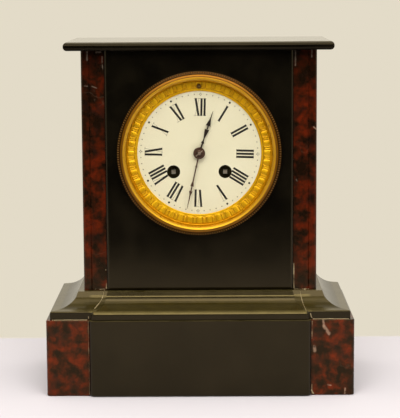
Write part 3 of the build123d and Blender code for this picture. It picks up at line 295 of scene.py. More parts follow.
def polished_slate(name, shine):
    """Black slate, waxed. Dust and old polish lie brown on the ledges and slopes of the mouldings, partly as
    a painted sheen, and less on faces that turn sideways, as painted shade. The rounded edges of the centre
    carry a painted highlight, and the top face has a thin layer of dust under its polish that also paints a
    highlight on the upper round of the top slab's nose."""
    f = Finish(name)
    cloud = f.noise(38, 5.0, 0.6)
    grain = f.noise(0.9, 3.0)
    rub = f.noise(9, 4.0, place=f.stretched(z=0.35))
    worn = 0.3 + rub * 0.7
    side, _, up = f.facing()
    # Faces that turn sideways get less of the brown below, as painted shade
    side_shade = f.band(abs(side), 0.1, 0.4)
    below_top = f.band(f.z, TOP_Z - 2.0, TOP_Z - 4.0)
    stone = f.blend(f.band(cloud, 0.35, 0.7), (0.0018, 0.0016, 0.0011), (0.0055, 0.0044, 0.0026))
    speck = f.band(f.cells(2.6), 0.06, 0.02) * f.band(f.noise(24), 0.55, 0.7)
    stone = f.blend(speck * 0.3, stone, (0.10, 0.09, 0.07))
    # Brown dust and polish on upward faces, partly a painted sheen
    wax_and_sheen = f.band(up, 0.05, 0.65) * worn * below_top * (1.0 - side_shade * 0.7)
    stone = f.blend(wax_and_sheen * 0.6, stone, (0.070, 0.052, 0.007))
    # Painted highlight on the rounded edges of the moulding's centre, kept off faces that turn sideways
    middle = f.band(abs(f.x), BREAK_X + 2.0, BREAK_X - 2.0) * (1.0 - side_shade)
    for low, high in EDGE_HIGHLIGHTS:
        edge = f.band(f.z, low - 0.4, low + 0.3) * f.band(f.z, high + 0.4, high - 0.2) * f.band(up, 0.1, 0.3)
        stone = f.blend(edge * middle * worn, stone, (0.135, 0.108, 0.038))
    dust = f.band(up, 0.985, 0.999) * f.band(f.noise(14, 4.0), 0.2, 0.6) * below_top
    stone = f.blend(dust * 0.5, stone, (0.13, 0.105, 0.045))
    # A layer of dust under a clear coat on the top slab's upward faces, partly a painted highlight on the
    # upper round of its nose
    film_and_sheen = (1.0 - below_top) * f.band(up, 0.5, 0.95)
    stone = f.blend(film_and_sheen * (0.30 + cloud * 0.45), stone, (0.085, 0.068, 0.022))
    gloss = 0.10 + cloud * 0.08 + rub * 0.05 + wax_and_sheen * 0.05
    return f.wear(Base_Color=stone, Roughness=gloss, Normal=f.bump(grain, 0.012, 0.25), IOR=1.5,
                  Specular_IOR_Level=shine, Specular_Tint=WAX_TINT, Coat_Weight=film_and_sheen * 0.8,
                  Coat_Roughness=0.12)


def worked_slate():
    """Slate as it is left on the back, sawn and rubbed but not polished."""
    f = Finish("rubbed_slate")
    cloud = f.noise(30, 5.0, 0.6)
    saw = f.noise(1.6, 2.0, place=f.stretched(x=0.06))
    stone = f.blend(cloud, (0.010, 0.010, 0.010), (0.030, 0.029, 0.028))
    stone = f.blend(f.band(saw, 0.55, 0.75) * 0.5, stone, (0.05, 0.048, 0.045))
    return f.wear(Base_Color=stone, Roughness=0.55 + cloud * 0.15, Normal=f.bump(saw, 0.05, 0.5))


def red_marble():
    """Mottled red marble: soft red islands in a dark brown ground, with faint veins, pale smears and chips.
    It darkens above the base, and most under the top slab, where the darkening is painted shadow of the slab."""
    f = Finish("red_marble")
    place = f.warped(9, 6.0)
    isles = f.noise(8.5, 2.0, 0.5, place)
    mottle = f.noise(2.6, 4.0, 0.6, f.warped(3, 2.0))
    ground = f.noise(30, 3.0, 0.5)
    tone = isles * 0.9 + mottle * 0.3 + (ground - 0.5) * 0.4
    stone = f.ramp(tone, (0.46, (0.009, 0.004, 0.002)), (0.56, (0.027, 0.007, 0.003)),
                   (0.66, (0.068, 0.010, 0.003)), (0.80, (0.130, 0.014, 0.0035)))
    grey = f.band(f.noise(12, 3.0, 0.5, place), 0.55, 0.65) * f.band(mottle, 0.35, 0.6)
    stone = f.blend(grey * 0.6, stone, (0.012, 0.007, 0.006))
    vein = f.band(abs(f.noise(30, 3.0, place=place) - 0.5), 0.010, 0.003) * f.band(f.noise(44), 0.58, 0.66)
    stone = f.blend(vein * 0.14, stone, (0.20, 0.13, 0.09))
    # Painted shadow of the top slab: the marble darkens more toward it
    dark = 0.30 + f.band(f.z, *SLAB_SHADOW_WIDE) * 0.25 + f.band(f.z, *SLAB_SHADOW_CLOSE) * 0.2
    stone = f.blend(f.band(f.z, *ABOVE_BASE) * dark, stone, (0.006, 0.0025, 0.001))
    broken = f.band(mottle, 0.3, 0.55)
    for lines, share, colour in MARKS:
        for line in lines:
            stone = f.blend(f.streak(*line) * broken * share, stone, colour)
    return f.wear(Base_Color=stone, Roughness=0.15 + mottle * 0.08, Normal=f.bump(mottle, 0.02, 0.3), IOR=1.5,
                  Specular_IOR_Level=0.22, Specular_Tint=WAX_TINT)


def putty():
    """Old putty, pale and uneven."""
    f = Finish("putty")
    worn = f.noise(2.2, 4.0)
    pale = f.blend(worn, (0.14, 0.105, 0.055), (0.42, 0.34, 0.20))
    return f.wear(Base_Color=pale, Roughness=0.75, Normal=f.bump(f.noise(0.6, 3.0), 0.08, 0.6))


# Finishes of the metals

# Distances from the dial's axis over which the bezel's smooth band turns brown, and its groove darkens with
# painted shade
BAND_END = (61.7, 62.2)
GROOVE_SHADE = (63.8, 64.4)

# Heights from the dial's centre over which the bezel's rim and milling turn paler toward the bottom, a
# painted reflection of the table
RIM_TABLE_REFLECTION = (-46.0, -64.0)
MILLING_TABLE_REFLECTION = (-40.0, -60.0)

# Depths over which steel changes toward the front; the first turns the ratchet black as painted shade
RATCHET_SHADE = (35.0, 33.0)
SQUARE_BRIGHT = (25.6, 25.3)
PIN_BRIGHT = (19.75, 19.6)


def gilt():
    """Fire-gilt brass, warm and a little uneven, browner in the hollows of the relief."""
    f = Finish("gilt")
    cloud = f.noise(16, 4.0, 0.6)
    grain = f.noise(0.35, 3.0)
    metal = f.blend(f.band(cloud, 0.3, 0.75), (0.74, 0.40, 0.006), (0.82, 0.49, 0.012))
    tarnish = f.band(f.noise(6, 4.0), 0.58, 0.8)
    metal = f.blend(tarnish * 0.35, metal, (0.42, 0.20, 0.006))
    hollow = f.node("ShaderNodeAttribute", {"attribute_name": "hollow"}, out="Fac")
    metal = f.blend(hollow * 0.7, metal, (0.33, 0.145, 0.004))
    return f.wear(Base_Color=metal, Metallic=1.0, Roughness=0.50 + cloud * 0.10 + tarnish * 0.08,
                  Normal=f.bump(grain, 0.01, 0.35), Coat_Weight=0.12, Coat_Roughness=0.3)


def toned_brass():
    """The bezel's brass: browned on the rim, with painted shade in the groove, rubbed bright on the smooth
    band, and paler toward the bottom of the rim as a painted reflection of the table.
    """
    f = Finish("toned_brass")
    reach = f.reach()
    cloud = f.noise(11, 4.0, 0.6)
    # Painted reflection of the table: the rim turns paler toward the bottom
    rubbed = f.band(f.z - DIAL_Z, *RIM_TABLE_REFLECTION)
    brown = f.blend(cloud, (0.17, 0.066, 0.004), (0.29, 0.122, 0.008))
    brown = f.blend(rubbed * 0.5, brown, (0.30, 0.15, 0.02))
    gold = f.blend(cloud, (0.54, 0.28, 0.010), (0.64, 0.36, 0.024))
    metal = f.blend(f.band(reach + (cloud - 0.5) * 0.6, *BAND_END), gold, brown)
    # Painted shade in the groove
    metal = f.blend(f.band(reach, *GROOVE_SHADE) * 0.85, metal, (0.016, 0.007, 0.002))
    spots = f.band(f.noise(3.2, 4.0), 0.62, 0.76)
    metal = f.blend(spots * 0.6, metal, (0.05, 0.02, 0.007))
    return f.wear(Base_Color=metal, Metallic=1.0, Roughness=0.48 + spots * 0.15,
                  Normal=f.bump(f.noise(0.5, 3.0), 0.012, 0.3), Coat_Weight=0.12, Coat_Roughness=0.25)


def milled_brass():
    """The milling's brass, golden at the bottom as a painted reflection of the table."""
    f = Finish("milled_brass")
    cloud = f.noise(9, 4.0, 0.6)
    # Painted reflection of the table: the milling turns golden toward the bottom
    rubbed = f.band(f.z - DIAL_Z, *MILLING_TABLE_REFLECTION)
    metal = f.blend(cloud, (0.30, 0.155, 0.030), (0.52, 0.30, 0.070))
    metal = f.blend(rubbed * 0.6, metal, (0.46, 0.27, 0.06))
    return f.wear(Base_Color=metal, Metallic=1.0, Roughness=0.34)


def plain_brass():
    """Brushed brass of the movement, with brown stains."""
    f = Finish("brass")
    brush = f.noise(1.2, 3.0, place=f.stretched(x=0.05))
    cloud = f.noise(12, 4.0)
    metal = f.blend(cloud, (0.62, 0.39, 0.115), (0.80, 0.56, 0.20))
    metal = f.blend(f.band(f.noise(5, 4.0), 0.6, 0.8) * 0.4, metal, (0.30, 0.16, 0.05))
    return f.wear(Base_Color=metal, Metallic=1.0, Roughness=0.24 + brush * 0.16,
                  Normal=f.bump(brush, 0.01, 0.3))


def turned_brass():
    """Brass turned in a lathe, with fine rings about the dial's axis and brown finger marks."""
    f = Finish("turned_brass")
    rings = f.node("ShaderNodeTexNoise", {"noise_dimensions": "1D"}, {
        "W": f.reach(), "Scale": 2.2, "Detail": 3.0,
    })
    cloud = f.noise(15, 4.0)
    marks = f.band(f.noise(9, 5.0, 0.65), 0.55, 0.75)
    metal = f.blend(rings * 0.6 + cloud * 0.4, (0.46, 0.27, 0.075), (0.74, 0.50, 0.17))
    metal = f.blend(marks * 0.5, metal, (0.24, 0.12, 0.035))
    return f.wear(Base_Color=metal, Metallic=1.0, Roughness=0.26 + rings * 0.14 + marks * 0.12,
                  Normal=f.bump(rings, 0.02, 0.5))


def shadowed_brass():
    """The front plate and the motion work, dark behind the dial with painted shade."""
    f = Finish("shadowed_brass")
    worn = f.noise(12, 4.0)
    metal = f.blend(worn, (0.020, 0.014, 0.007), (0.050, 0.033, 0.014))
    return f.wear(Base_Color=metal, Metallic=0.5, Roughness=0.55)


def bell_bronze():
    """Bronze of the bell, a little clouded, with marks of turning."""
    f = Finish("bell_bronze")
    ring = f.noise(1.0, 2.0, place=f.stretched(x=0.3, z=0.3))
    cloud = f.noise(14, 4.0)
    metal = f.blend(cloud, (0.50, 0.34, 0.17), (0.68, 0.50, 0.28))
    return f.wear(Base_Color=metal, Metallic=1.0, Roughness=0.28 + ring * 0.15,
                  Normal=f.bump(ring, 0.015, 0.4))


def steel():
    """Steelwork of the movement, browned a little with age."""
    f = Finish("steel")
    brush = f.noise(0.8, 2.0, place=f.stretched(y=0.05))
    metal = f.blend(f.noise(4, 3.0), (0.20, 0.18, 0.16), (0.34, 0.32, 0.30))
    return f.wear(Base_Color=metal, Metallic=1.0, Roughness=0.30 + brush * 0.2)


def winding_steel():
    """A winding arbor: the end is polished by the key, and its ratchet behind the dial is black with painted
    shade.
    """
    f = Finish("winding_steel")
    worn = f.noise(3.0, 3.0)
    metal = f.blend(worn, (0.20, 0.18, 0.16), (0.34, 0.32, 0.30))
    # Painted shade: the ratchet behind the dial turns black
    metal = f.blend(f.band(f.depth(), *RATCHET_SHADE), metal, (0.040, 0.032, 0.010))
    metal = f.blend(f.band(f.depth(), *SQUARE_BRIGHT), metal, (0.30, 0.26, 0.20))
    return f.wear(Base_Color=metal, Metallic=0.8, Roughness=0.36 + worn * 0.1)


def browned_metal(name, dark, pale):
    """Small metal pieces that have gone brown with age."""
    f = Finish(name)
    heat = f.noise(7, 3.0)
    metal = f.blend(heat, dark, pale)
    return f.wear(Base_Color=metal, Metallic=0.6, Roughness=0.38 + heat * 0.1)


def collet_steel():
    """A browned collet with a bright taper pin through its post."""
    f = Finish("collet_steel")
    worn = f.noise(2.0, 3.0)
    metal = f.blend(worn, (0.050, 0.026, 0.018), (0.085, 0.045, 0.030))
    metal = f.blend(f.band(f.depth(), *PIN_BRIGHT), metal, (0.27, 0.21, 0.165))
    return f.wear(Base_Color=metal, Metallic=0.7, Roughness=0.42)


# Finishes of the dial and its glass

def enamel():
    """Cream enamel, a little cloudy and gently uneven."""
    f = Finish("enamel")
    cloud = f.noise(34, 4.0)
    fine = f.noise(3.0, 3.0)
    white = f.blend(cloud, (0.75, 0.705, 0.525), (0.79, 0.755, 0.58))
    white = f.blend(f.band(fine, 0.66, 0.8) * 0.10, white, (0.62, 0.52, 0.36))
    return f.wear(Base_Color=white, Roughness=0.16 + cloud * 0.06,
                  Normal=f.bump(f.noise(7, 2.0), 0.02, 0.2))


def dial_black():
    """Thick strokes and feet of the figures, worn in places."""
    f = Finish("dial_black")
    worn = f.noise(1.1, 3.0)
    ink = f.blend(f.band(worn, 0.5, 0.8) * 0.5, (0.006, 0.005, 0.003), (0.035, 0.028, 0.016))
    return f.wear(Base_Color=ink, Roughness=0.28 + worn * 0.2)


def dial_grey():
    """Hairlines and minute marks, which age to grey."""
    f = Finish("dial_grey")
    worn = f.noise(1.4, 3.0)
    ink = f.blend(f.band(worn, 0.35, 0.75), (0.13, 0.12, 0.09), (0.32, 0.29, 0.22))
    return f.wear(Base_Color=ink, Roughness=0.3 + worn * 0.2)


def clear_glass():
    """Window glass: clear from the front, with a reflection that grows toward the edges."""
    f = Finish("clear_glass")
    gloss = f.node("ShaderNodeBsdfGlossy", {}, {"Roughness": 0.01})
    clear = f.node("ShaderNodeBsdfTransparent", {}, {0: (0.985, 0.99, 0.985)})
    slant = f.node("ShaderNodeLayerWeight", {}, {"Blend": 0.5}, "Facing")
    mixed = f.node("ShaderNodeMixShader", {}, {0: slant ** 5 * 0.7 + 0.02, 1: clear, 2: gloss})
    f.tree.links.new(mixed.socket, f.output.inputs[0])
    f.tree.nodes.remove(f.shader)
    return f.material


SLATE = polished_slate("polished_slate", 0.34)
TOP_SLATE = polished_slate("top_slate", 0.12)
RUBBED = worked_slate()
MARBLE = red_marble()
PUTTY = putty()
GILT = gilt()
TONED = toned_brass()
MILLED = milled_brass()
BRASS = plain_brass()
TURNED = turned_brass()
SHADED_BRASS = shadowed_brass()
BRONZE = bell_bronze()
STEEL = steel()
WINDING = winding_steel()
HOUR_STEEL = browned_metal("hour_steel", (0.016, 0.011, 0.008), (0.034, 0.022, 0.016))
MINUTE_STEEL = browned_metal("minute_steel", (0.055, 0.028, 0.018), (0.105, 0.050, 0.032))
EYELET = browned_metal("eyelet_brown", (0.060, 0.022, 0.006), (0.105, 0.040, 0.010))
COLLET = collet_steel()
ENAMEL = enamel()
BLACK = dial_black()
GREY = dial_grey()
GLASS = clear_glass()

NODE_FINISH = {
    SLATE: "base_front_panel base_side_left base_side_right moulding_slab front_panel "
           "side_slab_left side_slab_right",
    TOP_SLATE: "top_slab",
    RUBBED: "base_back_panel back_panel",
    MARBLE: "base_end_left base_end_right pilaster_slip_left pilaster_slip_right corner_post_left "
            "corner_post_right",
    GILT: "sight_ring bezel_frame",
    TONED: "bezel_door bezel_hinge_pin",
    BRASS: "regulator_arbor back_plate going_barrel strike_barrel intermediate_wheel centre_wheel "
           "third_wheel escape_wheel strike_second_wheel count_wheel pin_wheel warning_wheel fly "
           "back_cock pendulum_bob back_hinge_pin bell_stand",
    TURNED: "back_ring back_door",
    BRONZE: "bell",
    STEEL: "anchor pendulum_rod suspension_spring hammer going_click strike_click "
           "going_mainspring strike_mainspring case_screws",
    WINDING: "going_arbor strike_arbor",
    HOUR_STEEL: "hour_hand",
    MINUTE_STEEL: "minute_hand",
    COLLET: "hand_collet",
    SHADED_BRASS: "front_plate hour_wheel minute_wheel cannon_pinion",
    ENAMEL: "dial",
    GLASS: "bezel_glass",
}
for finish, names in NODE_FINISH.items():
    for name in names.split():
        mesh = nodes[name].data
        mesh.materials.clear()
        mesh.materials.append(finish)


# Pieces

# Points nearer than this many metres are one point
DOUBLE = 1e-7

ONCE_ROUND = 2 * math.pi


def piece(name, bm, finishes, body, crease=35.0):
    """Turns a bmesh into a piece that rides on a body, smooth up to the crease angle."""
    bmesh.ops.remove_doubles(bm, verts=bm.verts, dist=DOUBLE)
    bmesh.ops.recalc_face_normals(bm, faces=bm.faces)
    mesh = bpy.data.meshes.new(name)
    bm.to_mesh(mesh)
    bm.free()
    for finish in finishes:
        mesh.materials.append(finish)
    mesh.shade_smooth()
    mesh.set_sharp_from_angle(angle=math.radians(crease))
    made = bpy.data.objects.new(name, mesh)
    bpy.context.scene.collection.objects.link(made)
    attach(made, body)
    return made


def spun(bm, profile, height, steps):
    """Turns a profile of (reach, depth) once about an axis at a height above the table."""
    line = [bm.verts.new(spot(0.0, depth, height + reach)) for reach, depth in profile]
    edges = [bm.edges.new(pair) for pair in zip(line, line[1:])]
    bmesh.ops.spin(bm, geom=line + edges, cent=spot(0, 0, height), axis=(0, 1, 0), angle=ONCE_ROUND,
                   steps=steps, use_merge=True)


# Dial figures: thick strokes, hairlines and small feet, each numeral standing with its feet to the centre.
# The paint is turned a little on the dial.

NUMERALS = "XII I II III IIII V VI VII VIII IX X XI".split()
FOOTLESS = ("IIII", "VIII")
PAINTED_TURN = 1.6
FIGURE_FOOT = 30.2
FIGURE_HEAD = 44.2
LETTER_WIDTH = {"I": 2.6, "V": 4.5, "X": 4.5}
THICK = 1.7
HAIR = 0.24
SIDE_ROOM = 0.1
HAIR_REACH = 0.2
SERIF = 1.2
X_SERIF = 1.1
V_SERIF_IN, V_SERIF_OUT = 0.8, 1.0
V_FOOT, V_HAIR_FOOT = 0.1, 0.3
HOLE_CLEAR = 5.45
CUT_STEP = 0.1
MINUTE_REACH = 47.6
MINUTE_DOT = 0.48
HOUR_DOT = 0.9
QUARTER_DOT = 0.45
QUARTER_SPREAD = 0.85
DOT_SIDES = 8

# How far the paint stands up: black and grey strokes, feet and heads, minute marks
BLACK_INK, GREY_INK = 0, 1
STROKE_RISE = (0.05, 0.03)
SERIF_RISE = 0.06
MARK_RISE = 0.05


def raised(bm, corners, rise, finish):
    """A flat patch drawn on the dial's face and given a little thickness toward the front."""
    back = [bm.verts.new(spot(x, DIAL_FACE, DIAL_Z + z)) for x, z in corners]
    face = bm.faces.new(back)
    face.material_index = finish
    grown = bmesh.ops.extrude_face_region(bm, geom=[face])
    front = [v for v in grown["geom"] if isinstance(v, bmesh.types.BMVert)]
    bmesh.ops.translate(bm, verts=front, vec=(0, -rise * MM, 0))
    for made in grown["geom"]:
        if isinstance(made, bmesh.types.BMFace):
            made.material_index = finish


def numeral_strokes(numeral):
    """Each stroke as (foot x, head x, width, finish), and each foot or head line as (x0, x1, at the head)."""
    left = -sum(LETTER_WIDTH[letter] for letter in numeral) / 2
    strokes, serifs = [], []
    for letter in numeral:
        width = LETTER_WIDTH[letter]
        middle = left + width / 2
        reach = width / 2 - THICK / 2 - SIDE_ROOM
        west, east = middle - reach, middle + reach
        if letter == "I":
            strokes.append((middle, middle, THICK, BLACK_INK))
            serifs += [(middle - SERIF, middle + SERIF, head) for head in (False, True)]
        if letter == "V":
            strokes.append((middle + V_FOOT, west, THICK, BLACK_INK))
            strokes.append((middle + V_HAIR_FOOT, east + HAIR_REACH, HAIR, GREY_INK))
            serifs.append((west - SERIF, west + SERIF, True))
            serifs.append((east - V_SERIF_IN, east + V_SERIF_OUT, True))
        if letter == "X":
            strokes.append((east, west, THICK, BLACK_INK))
            strokes.append((west - HAIR_REACH, east + HAIR_REACH, HAIR, GREY_INK))
            for head in (False, True):
                serifs += [(x - X_SERIF, x + X_SERIF, head) for x in (west, east)]
        left += width
    return strokes, serifs


def on_dial(x, reach, angle):
    """A place in the paint: x across and reach out from the centre, turned clockwise from twelve."""
    turn = math.radians(angle + PAINTED_TURN)
    return x * math.cos(turn) + reach * math.sin(turn), reach * math.cos(turn) - x * math.sin(turn)


def around(x, z, reach, count, start=0.0):
    """Places evenly spaced on a circle."""
    angles = [start + ONCE_ROUND * k / count for k in range(count)]
    return [(x + reach * math.sin(a), z + reach * math.cos(a)) for a in angles]


def at_hole(x, z):
    """Whether a place on the dial is too near a winding hole for paint."""
    return any(math.dist((x, z), (hole, -HOLE_DROP)) < HOLE_CLEAR for hole in (-HOLE_X, HOLE_X))


def paint_numeral(bm, numeral, angle):
    """One numeral. Strokes that would run into a winding hole start further out."""
    strokes, serifs = numeral_strokes(numeral)
    for foot, head, width, finish in strokes:
        start = FIGURE_FOOT
        while at_hole(*on_dial(foot, start, angle)):
            start += CUT_STEP
        half = width / 2
        corners = [(foot - half, start), (foot + half, start),
                   (head + half, FIGURE_HEAD), (head - half, FIGURE_HEAD)]
        raised(bm, [on_dial(x, r, angle) for x, r in corners], STROKE_RISE[finish], finish)
    for x0, x1, at_head in serifs:
        if at_head or numeral not in FOOTLESS:
            r = FIGURE_HEAD if at_head else FIGURE_FOOT
            low, high = r - HAIR / 2, r + HAIR / 2
            corners = [(x0, low), (x1, low), (x1, high), (x0, high)]
            raised(bm, [on_dial(x, r, angle) for x, r in corners], SERIF_RISE, BLACK_INK)


def paint_minute(bm, minute):
    """A grey dot, a larger black one at the hours, or four small grey ones at the quarters."""
    angle = 6 * minute
    turn = math.radians(angle + PAINTED_TURN)
    middles = [on_dial(0.0, MINUTE_REACH, angle)]
    radius, finish = MINUTE_DOT, GREY_INK
    if minute % 15 == 0:
        middles = around(*middles[0], QUARTER_SPREAD, 4)
        radius = QUARTER_DOT
    elif minute % 5 == 0:
        radius, finish = HOUR_DOT, BLACK_INK
    for x, z in middles:
        raised(bm, around(x, z, radius, DOT_SIDES, turn), MARK_RISE, finish)


def dial_figures():
    """Numerals and minute marks as thin raised patches."""
    bm = bmesh.new()
    for hour, numeral in enumerate(NUMERALS):
        paint_numeral(bm, numeral, 30 * hour)
    for minute in range(60):
        paint_minute(bm, minute)
    piece("dial_figures", bm, [BLACK, GREY], "case")


# Embossed ring between dial and bezel: tongues with a raised rim and a swelling, darts between them

TONGUES = 44
TONGUE_STEPS = 18
TONGUE_ROWS = 24
TONGUE_IN, TONGUE_OUT = 52.1, 58.4
RING_DEPTH = 23.5
RING_SLOPE = 0.6
RING_CURVE = 0.85
RELIEF = 0.85
HOLLOW_BELOW = 0.55
HOLLOW_FADE = 5.0
INNER_EDGE = [(50.3, 24.4), (50.3, 23.75), (50.6, 23.55), (51.1, 23.5), (51.6, 23.52)]
OUTER_EDGE = [(58.6, 22.5), (58.8, 22.3), (59.05, 22.35), (59.2, 22.6), (59.2, 23.9)]
KEY_HOLE_R = 1.4
KEY_HOLE_WALL = 1.4
KEY_HOLE_FLAT = 2.1
EYELET_STEPS = 36
EYELET_PROFILE = [(1.05, 23.0), (1.05, 22.3), (1.15, 22.05), (1.4, 21.95), (1.62, 22.1), (1.72, 22.6)]
SOFT_CREASE = 60


def tongue_height(u, v):
    """Relief of one repeat: u runs across it from -0.5 to 0.5, v from its inner to its outer end."""
    tip, half = 0.36, 0.40
    rim_width, rim_rise = 0.055, 0.75
    inset, softness = 0.10, 0.02
    swell_half, swell_fall = 0.30, 0.35
    dart_width, dart_rise, dart_start = 0.045, 0.65, 3
    end_fade = 10
    if v < tip:
        half *= math.sqrt(max(0.0, 1 - ((tip - v) / tip) ** 2))
    off = half - abs(u)
    rim = math.exp(-(off / rim_width) ** 2)
    inside = 1 / (1 + math.exp(-(off - inset) / softness))
    swell = inside * math.sqrt(max(0.0, 1 - (u / swell_half) ** 2)) * (1.0 - swell_fall * v)
    dart = math.exp(-((abs(u) - 0.5) / dart_width) ** 2) * min(1.0, v * dart_start)
    fade = min(1.0, v * end_fade, (1 - v) * end_fade)
    return fade * max(rim_rise * rim, swell, dart_rise * dart)


def ring_profile():
    """The ring's section from the dial to the bezel, before it is embossed."""
    middle = []
    for k in range(TONGUE_ROWS + 1):
        r = TONGUE_IN + (TONGUE_OUT - TONGUE_IN) * k / TONGUE_ROWS
        along = (r - TONGUE_IN) / (TONGUE_OUT - TONGUE_IN)
        middle.append((r, RING_DEPTH - RING_SLOPE * along ** RING_CURVE))
    return INNER_EDGE + middle + OUTER_EDGE


def from_hole(place, hole):
    """Distance from a hole's axis, in millimetres."""
    return math.hypot(place.x - hole.x, place.z - hole.z) / MM


def embossed_ring():
    """The relief is pressed into the ring's front, flat round the regulating hole."""
    bm = bmesh.new()
    spun(bm, ring_profile(), DIAL_Z, TONGUES * TONGUE_STEPS)
    hollow = bm.verts.layers.float.new("hollow")
    hole = spot(0.0, 0.0, DIAL_Z + REGULATOR_REACH)
    for vert in bm.verts:
        x, z = vert.co.x / MM, vert.co.z / MM - DIAL_Z
        r = math.hypot(x, z)
        if TONGUE_IN <= r <= TONGUE_OUT:
            turn = math.atan2(x, z) / ONCE_ROUND * TONGUES
            along = (r - TONGUE_IN) / (TONGUE_OUT - TONGUE_IN)
            height = tongue_height(turn - round(turn), along)
            height *= min(1.0, max(0.0, from_hole(vert.co, hole) - KEY_HOLE_FLAT))
            vert.co.y -= RELIEF * height * MM
            vert[hollow] = max(0.0, 1.0 - height / HOLLOW_BELOW) * min(1.0, (1.0 - along) * HOLLOW_FADE)
    pierce(bm, hole)
    made = piece("embossed_ring", bm, [GILT], "case", SOFT_CREASE)
    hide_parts("sight_ring")


def pierce(bm, hole):
    """Opens the regulating hole, rounds its edge to the true circle and gives it a short wall."""
    gone = [f for f in bm.faces if from_hole(f.calc_center_median(), hole) < KEY_HOLE_R]
    rim = {v for f in gone for v in f.verts if any(g not in gone for g in v.link_faces)}
    bmesh.ops.delete(bm, geom=gone, context="FACES")
    for vert in rim:
        scale = KEY_HOLE_R / from_hole(vert.co, hole)
        vert.co.x = hole.x + (vert.co.x - hole.x) * scale
        vert.co.z = hole.z + (vert.co.z - hole.z) * scale
    edges = [e for e in bm.edges if e.is_boundary and e.verts[0] in rim and e.verts[1] in rim]
    wall = bmesh.ops.extrude_edge_only(bm, edges=edges)
    deep = [v for v in wall["geom"] if isinstance(v, bmesh.types.BMVert)]
    bmesh.ops.translate(bm, vec=(0, KEY_HOLE_WALL * MM, 0), verts=deep)


def regulator_eyelet():
    """A small dark collar round the hole for the regulating key."""
    bm = bmesh.new()
    spun(bm, EYELET_PROFILE, DIAL_Z + REGULATOR_REACH, EYELET_STEPS)
    piece("regulator_eyelet", bm, [EYELET], "case", SOFT_CREASE)


# Milled edge of the bezel: a ring of small beads

MILLS = 215
MILL_SIZE = (0.42, 1.0, 0.95)
MILL_REACH = 65.5
MILL_DEPTH = 16.6


def milled_edge():
    """One bead, copied round the bezel's rim."""
    bm = bmesh.new()
    bead = bmesh.ops.create_uvsphere(bm, u_segments=8, v_segments=5, radius=1.0)["verts"]
    bmesh.ops.scale(bm, vec=Vector(MILL_SIZE) * MM, verts=bead)
    bmesh.ops.translate(bm, vec=spot(0.0, MILL_DEPTH, DIAL_Z + MILL_REACH), verts=bead)
    bmesh.ops.spin(bm, geom=bm.verts[:] + bm.edges[:] + bm.faces[:], cent=spot(0, 0, DIAL_Z), axis=(0, 1, 0),
                   angle=ONCE_ROUND * (MILLS - 1) / MILLS, steps=MILLS - 1, use_duplicate=True)
    piece("milled_edge", bm, [MILLED], "bezel")


# Putty in the joints of the case, patched by hand at some time. Each line has its half width and its places
# as x and z on the front.

STONES = ("base_front_panel base_end_left base_end_right moulding_slab front_panel pilaster_slip_left "
          "pilaster_slip_right corner_post_left corner_post_right").split()
PUTTY_LINES = [
    (0.34, [(91.3, 62.6), (106.0, 62.62), (121.4, 62.6)]),
    (0.17, [(-91.5, 62.6), (-106.0, 62.62), (-121.0, 62.6)]),
    (0.17, [(-90.6, 62.3), (-90.5, 40), (-90.4, 20), (-90.3, 0.6)]),
    (0.22, [(90.6, 61.5), (90.6, 50), (90.5, 46)]),
    (0.26, [(90.6, 9.0), (90.5, 4.0), (90.9, 0.8)]),
    (0.50, [(90.2, 5.0), (91.3, 2.0), (92.6, 0.8)]),
    (0.25, [(-79.0, 82.3), (-79.5, 79.3), (-80.7, 76.0), (-82.7, 73.3), (-85.0, 71.0), (-86.8, 69.6)]),
    (0.50, [(-90.6, 65.2), (-90.3, 63.0), (-89.4, 62.8)]),
    (0.25, [(82.3, 81.4), (82.7, 77.9), (83.5, 74.5), (84.5, 71.6), (85.7, 69.5), (86.6, 68.7)]),
    (0.50, [(89.4, 67.2), (90.0, 64.6), (91.0, 62.8)]),
    (0.48, [(-77.3, 87.6), (-77.3, 85.0), (-77.5, 82.8)]),
    (0.40, [(-77.6, 99.4), (-77.6, 98.0)]),
    (0.35, [(77.2, 104.0), (77.3, 95.0), (77.2, 88.0), (77.4, 82.6)]),
    (0.28, [(-86.6, 83.0), (-85.2, 83.0)]),
    (0.22, [(-83.0, 82.8), (-80.0, 82.9), (-77.6, 83.0)]),
    (0.28, [(77.4, 82.4), (84.0, 82.3), (90.5, 82.4)]),
]
PUTTY_GAP = 0.7
SWELL_LEAST, SWELL_MOST = 0.45, 1.6
SWELL_CHANGE = 0.35
PUTTY_CREASE = 80
IN_FRONT = -300.0

# A bead's section: shares of its half width, and how far each corner stands off the stone
BEAD = ((-1, -0.08), (0, 0.16), (1, -0.08), (0, -0.3))


def stone_fronts():
    """The stones as one tree of faces, for finding where their fronts lie."""
    verts, faces = [], []
    for name in STONES:
        stone = nodes[name]
        start = len(verts)
        verts += [stone.matrix_world @ v.co for v in stone.data.vertices]
        faces += [[start + k for k in face.vertices] for face in stone.data.polygons]
    return BVHTree.FromPolygons(verts, faces)


def pressed(fronts, x, z, lift):
    """The place where a point pushed straight back meets the stone, lifted off it, or None."""
    met = fronts.ray_cast(Vector((x, IN_FRONT, z)) * MM, Vector((0, 1, 0)))[0]
    return met and met + Vector((0, -lift * MM, 0))


def spaced(points, gap):
    """Places along a line, about a gap apart, each with the direction of the line there."""
    for (x0, z0), (x1, z1) in zip(points, points[1:]):
        length = math.hypot(x1 - x0, z1 - z0)
        steps = max(1, round(length / gap))
        for k in range(steps):
            x = x0 + (x1 - x0) * k / steps
            z = z0 + (z1 - z0) * k / steps
            yield x, z, (x1 - x0) / length, (z1 - z0) / length


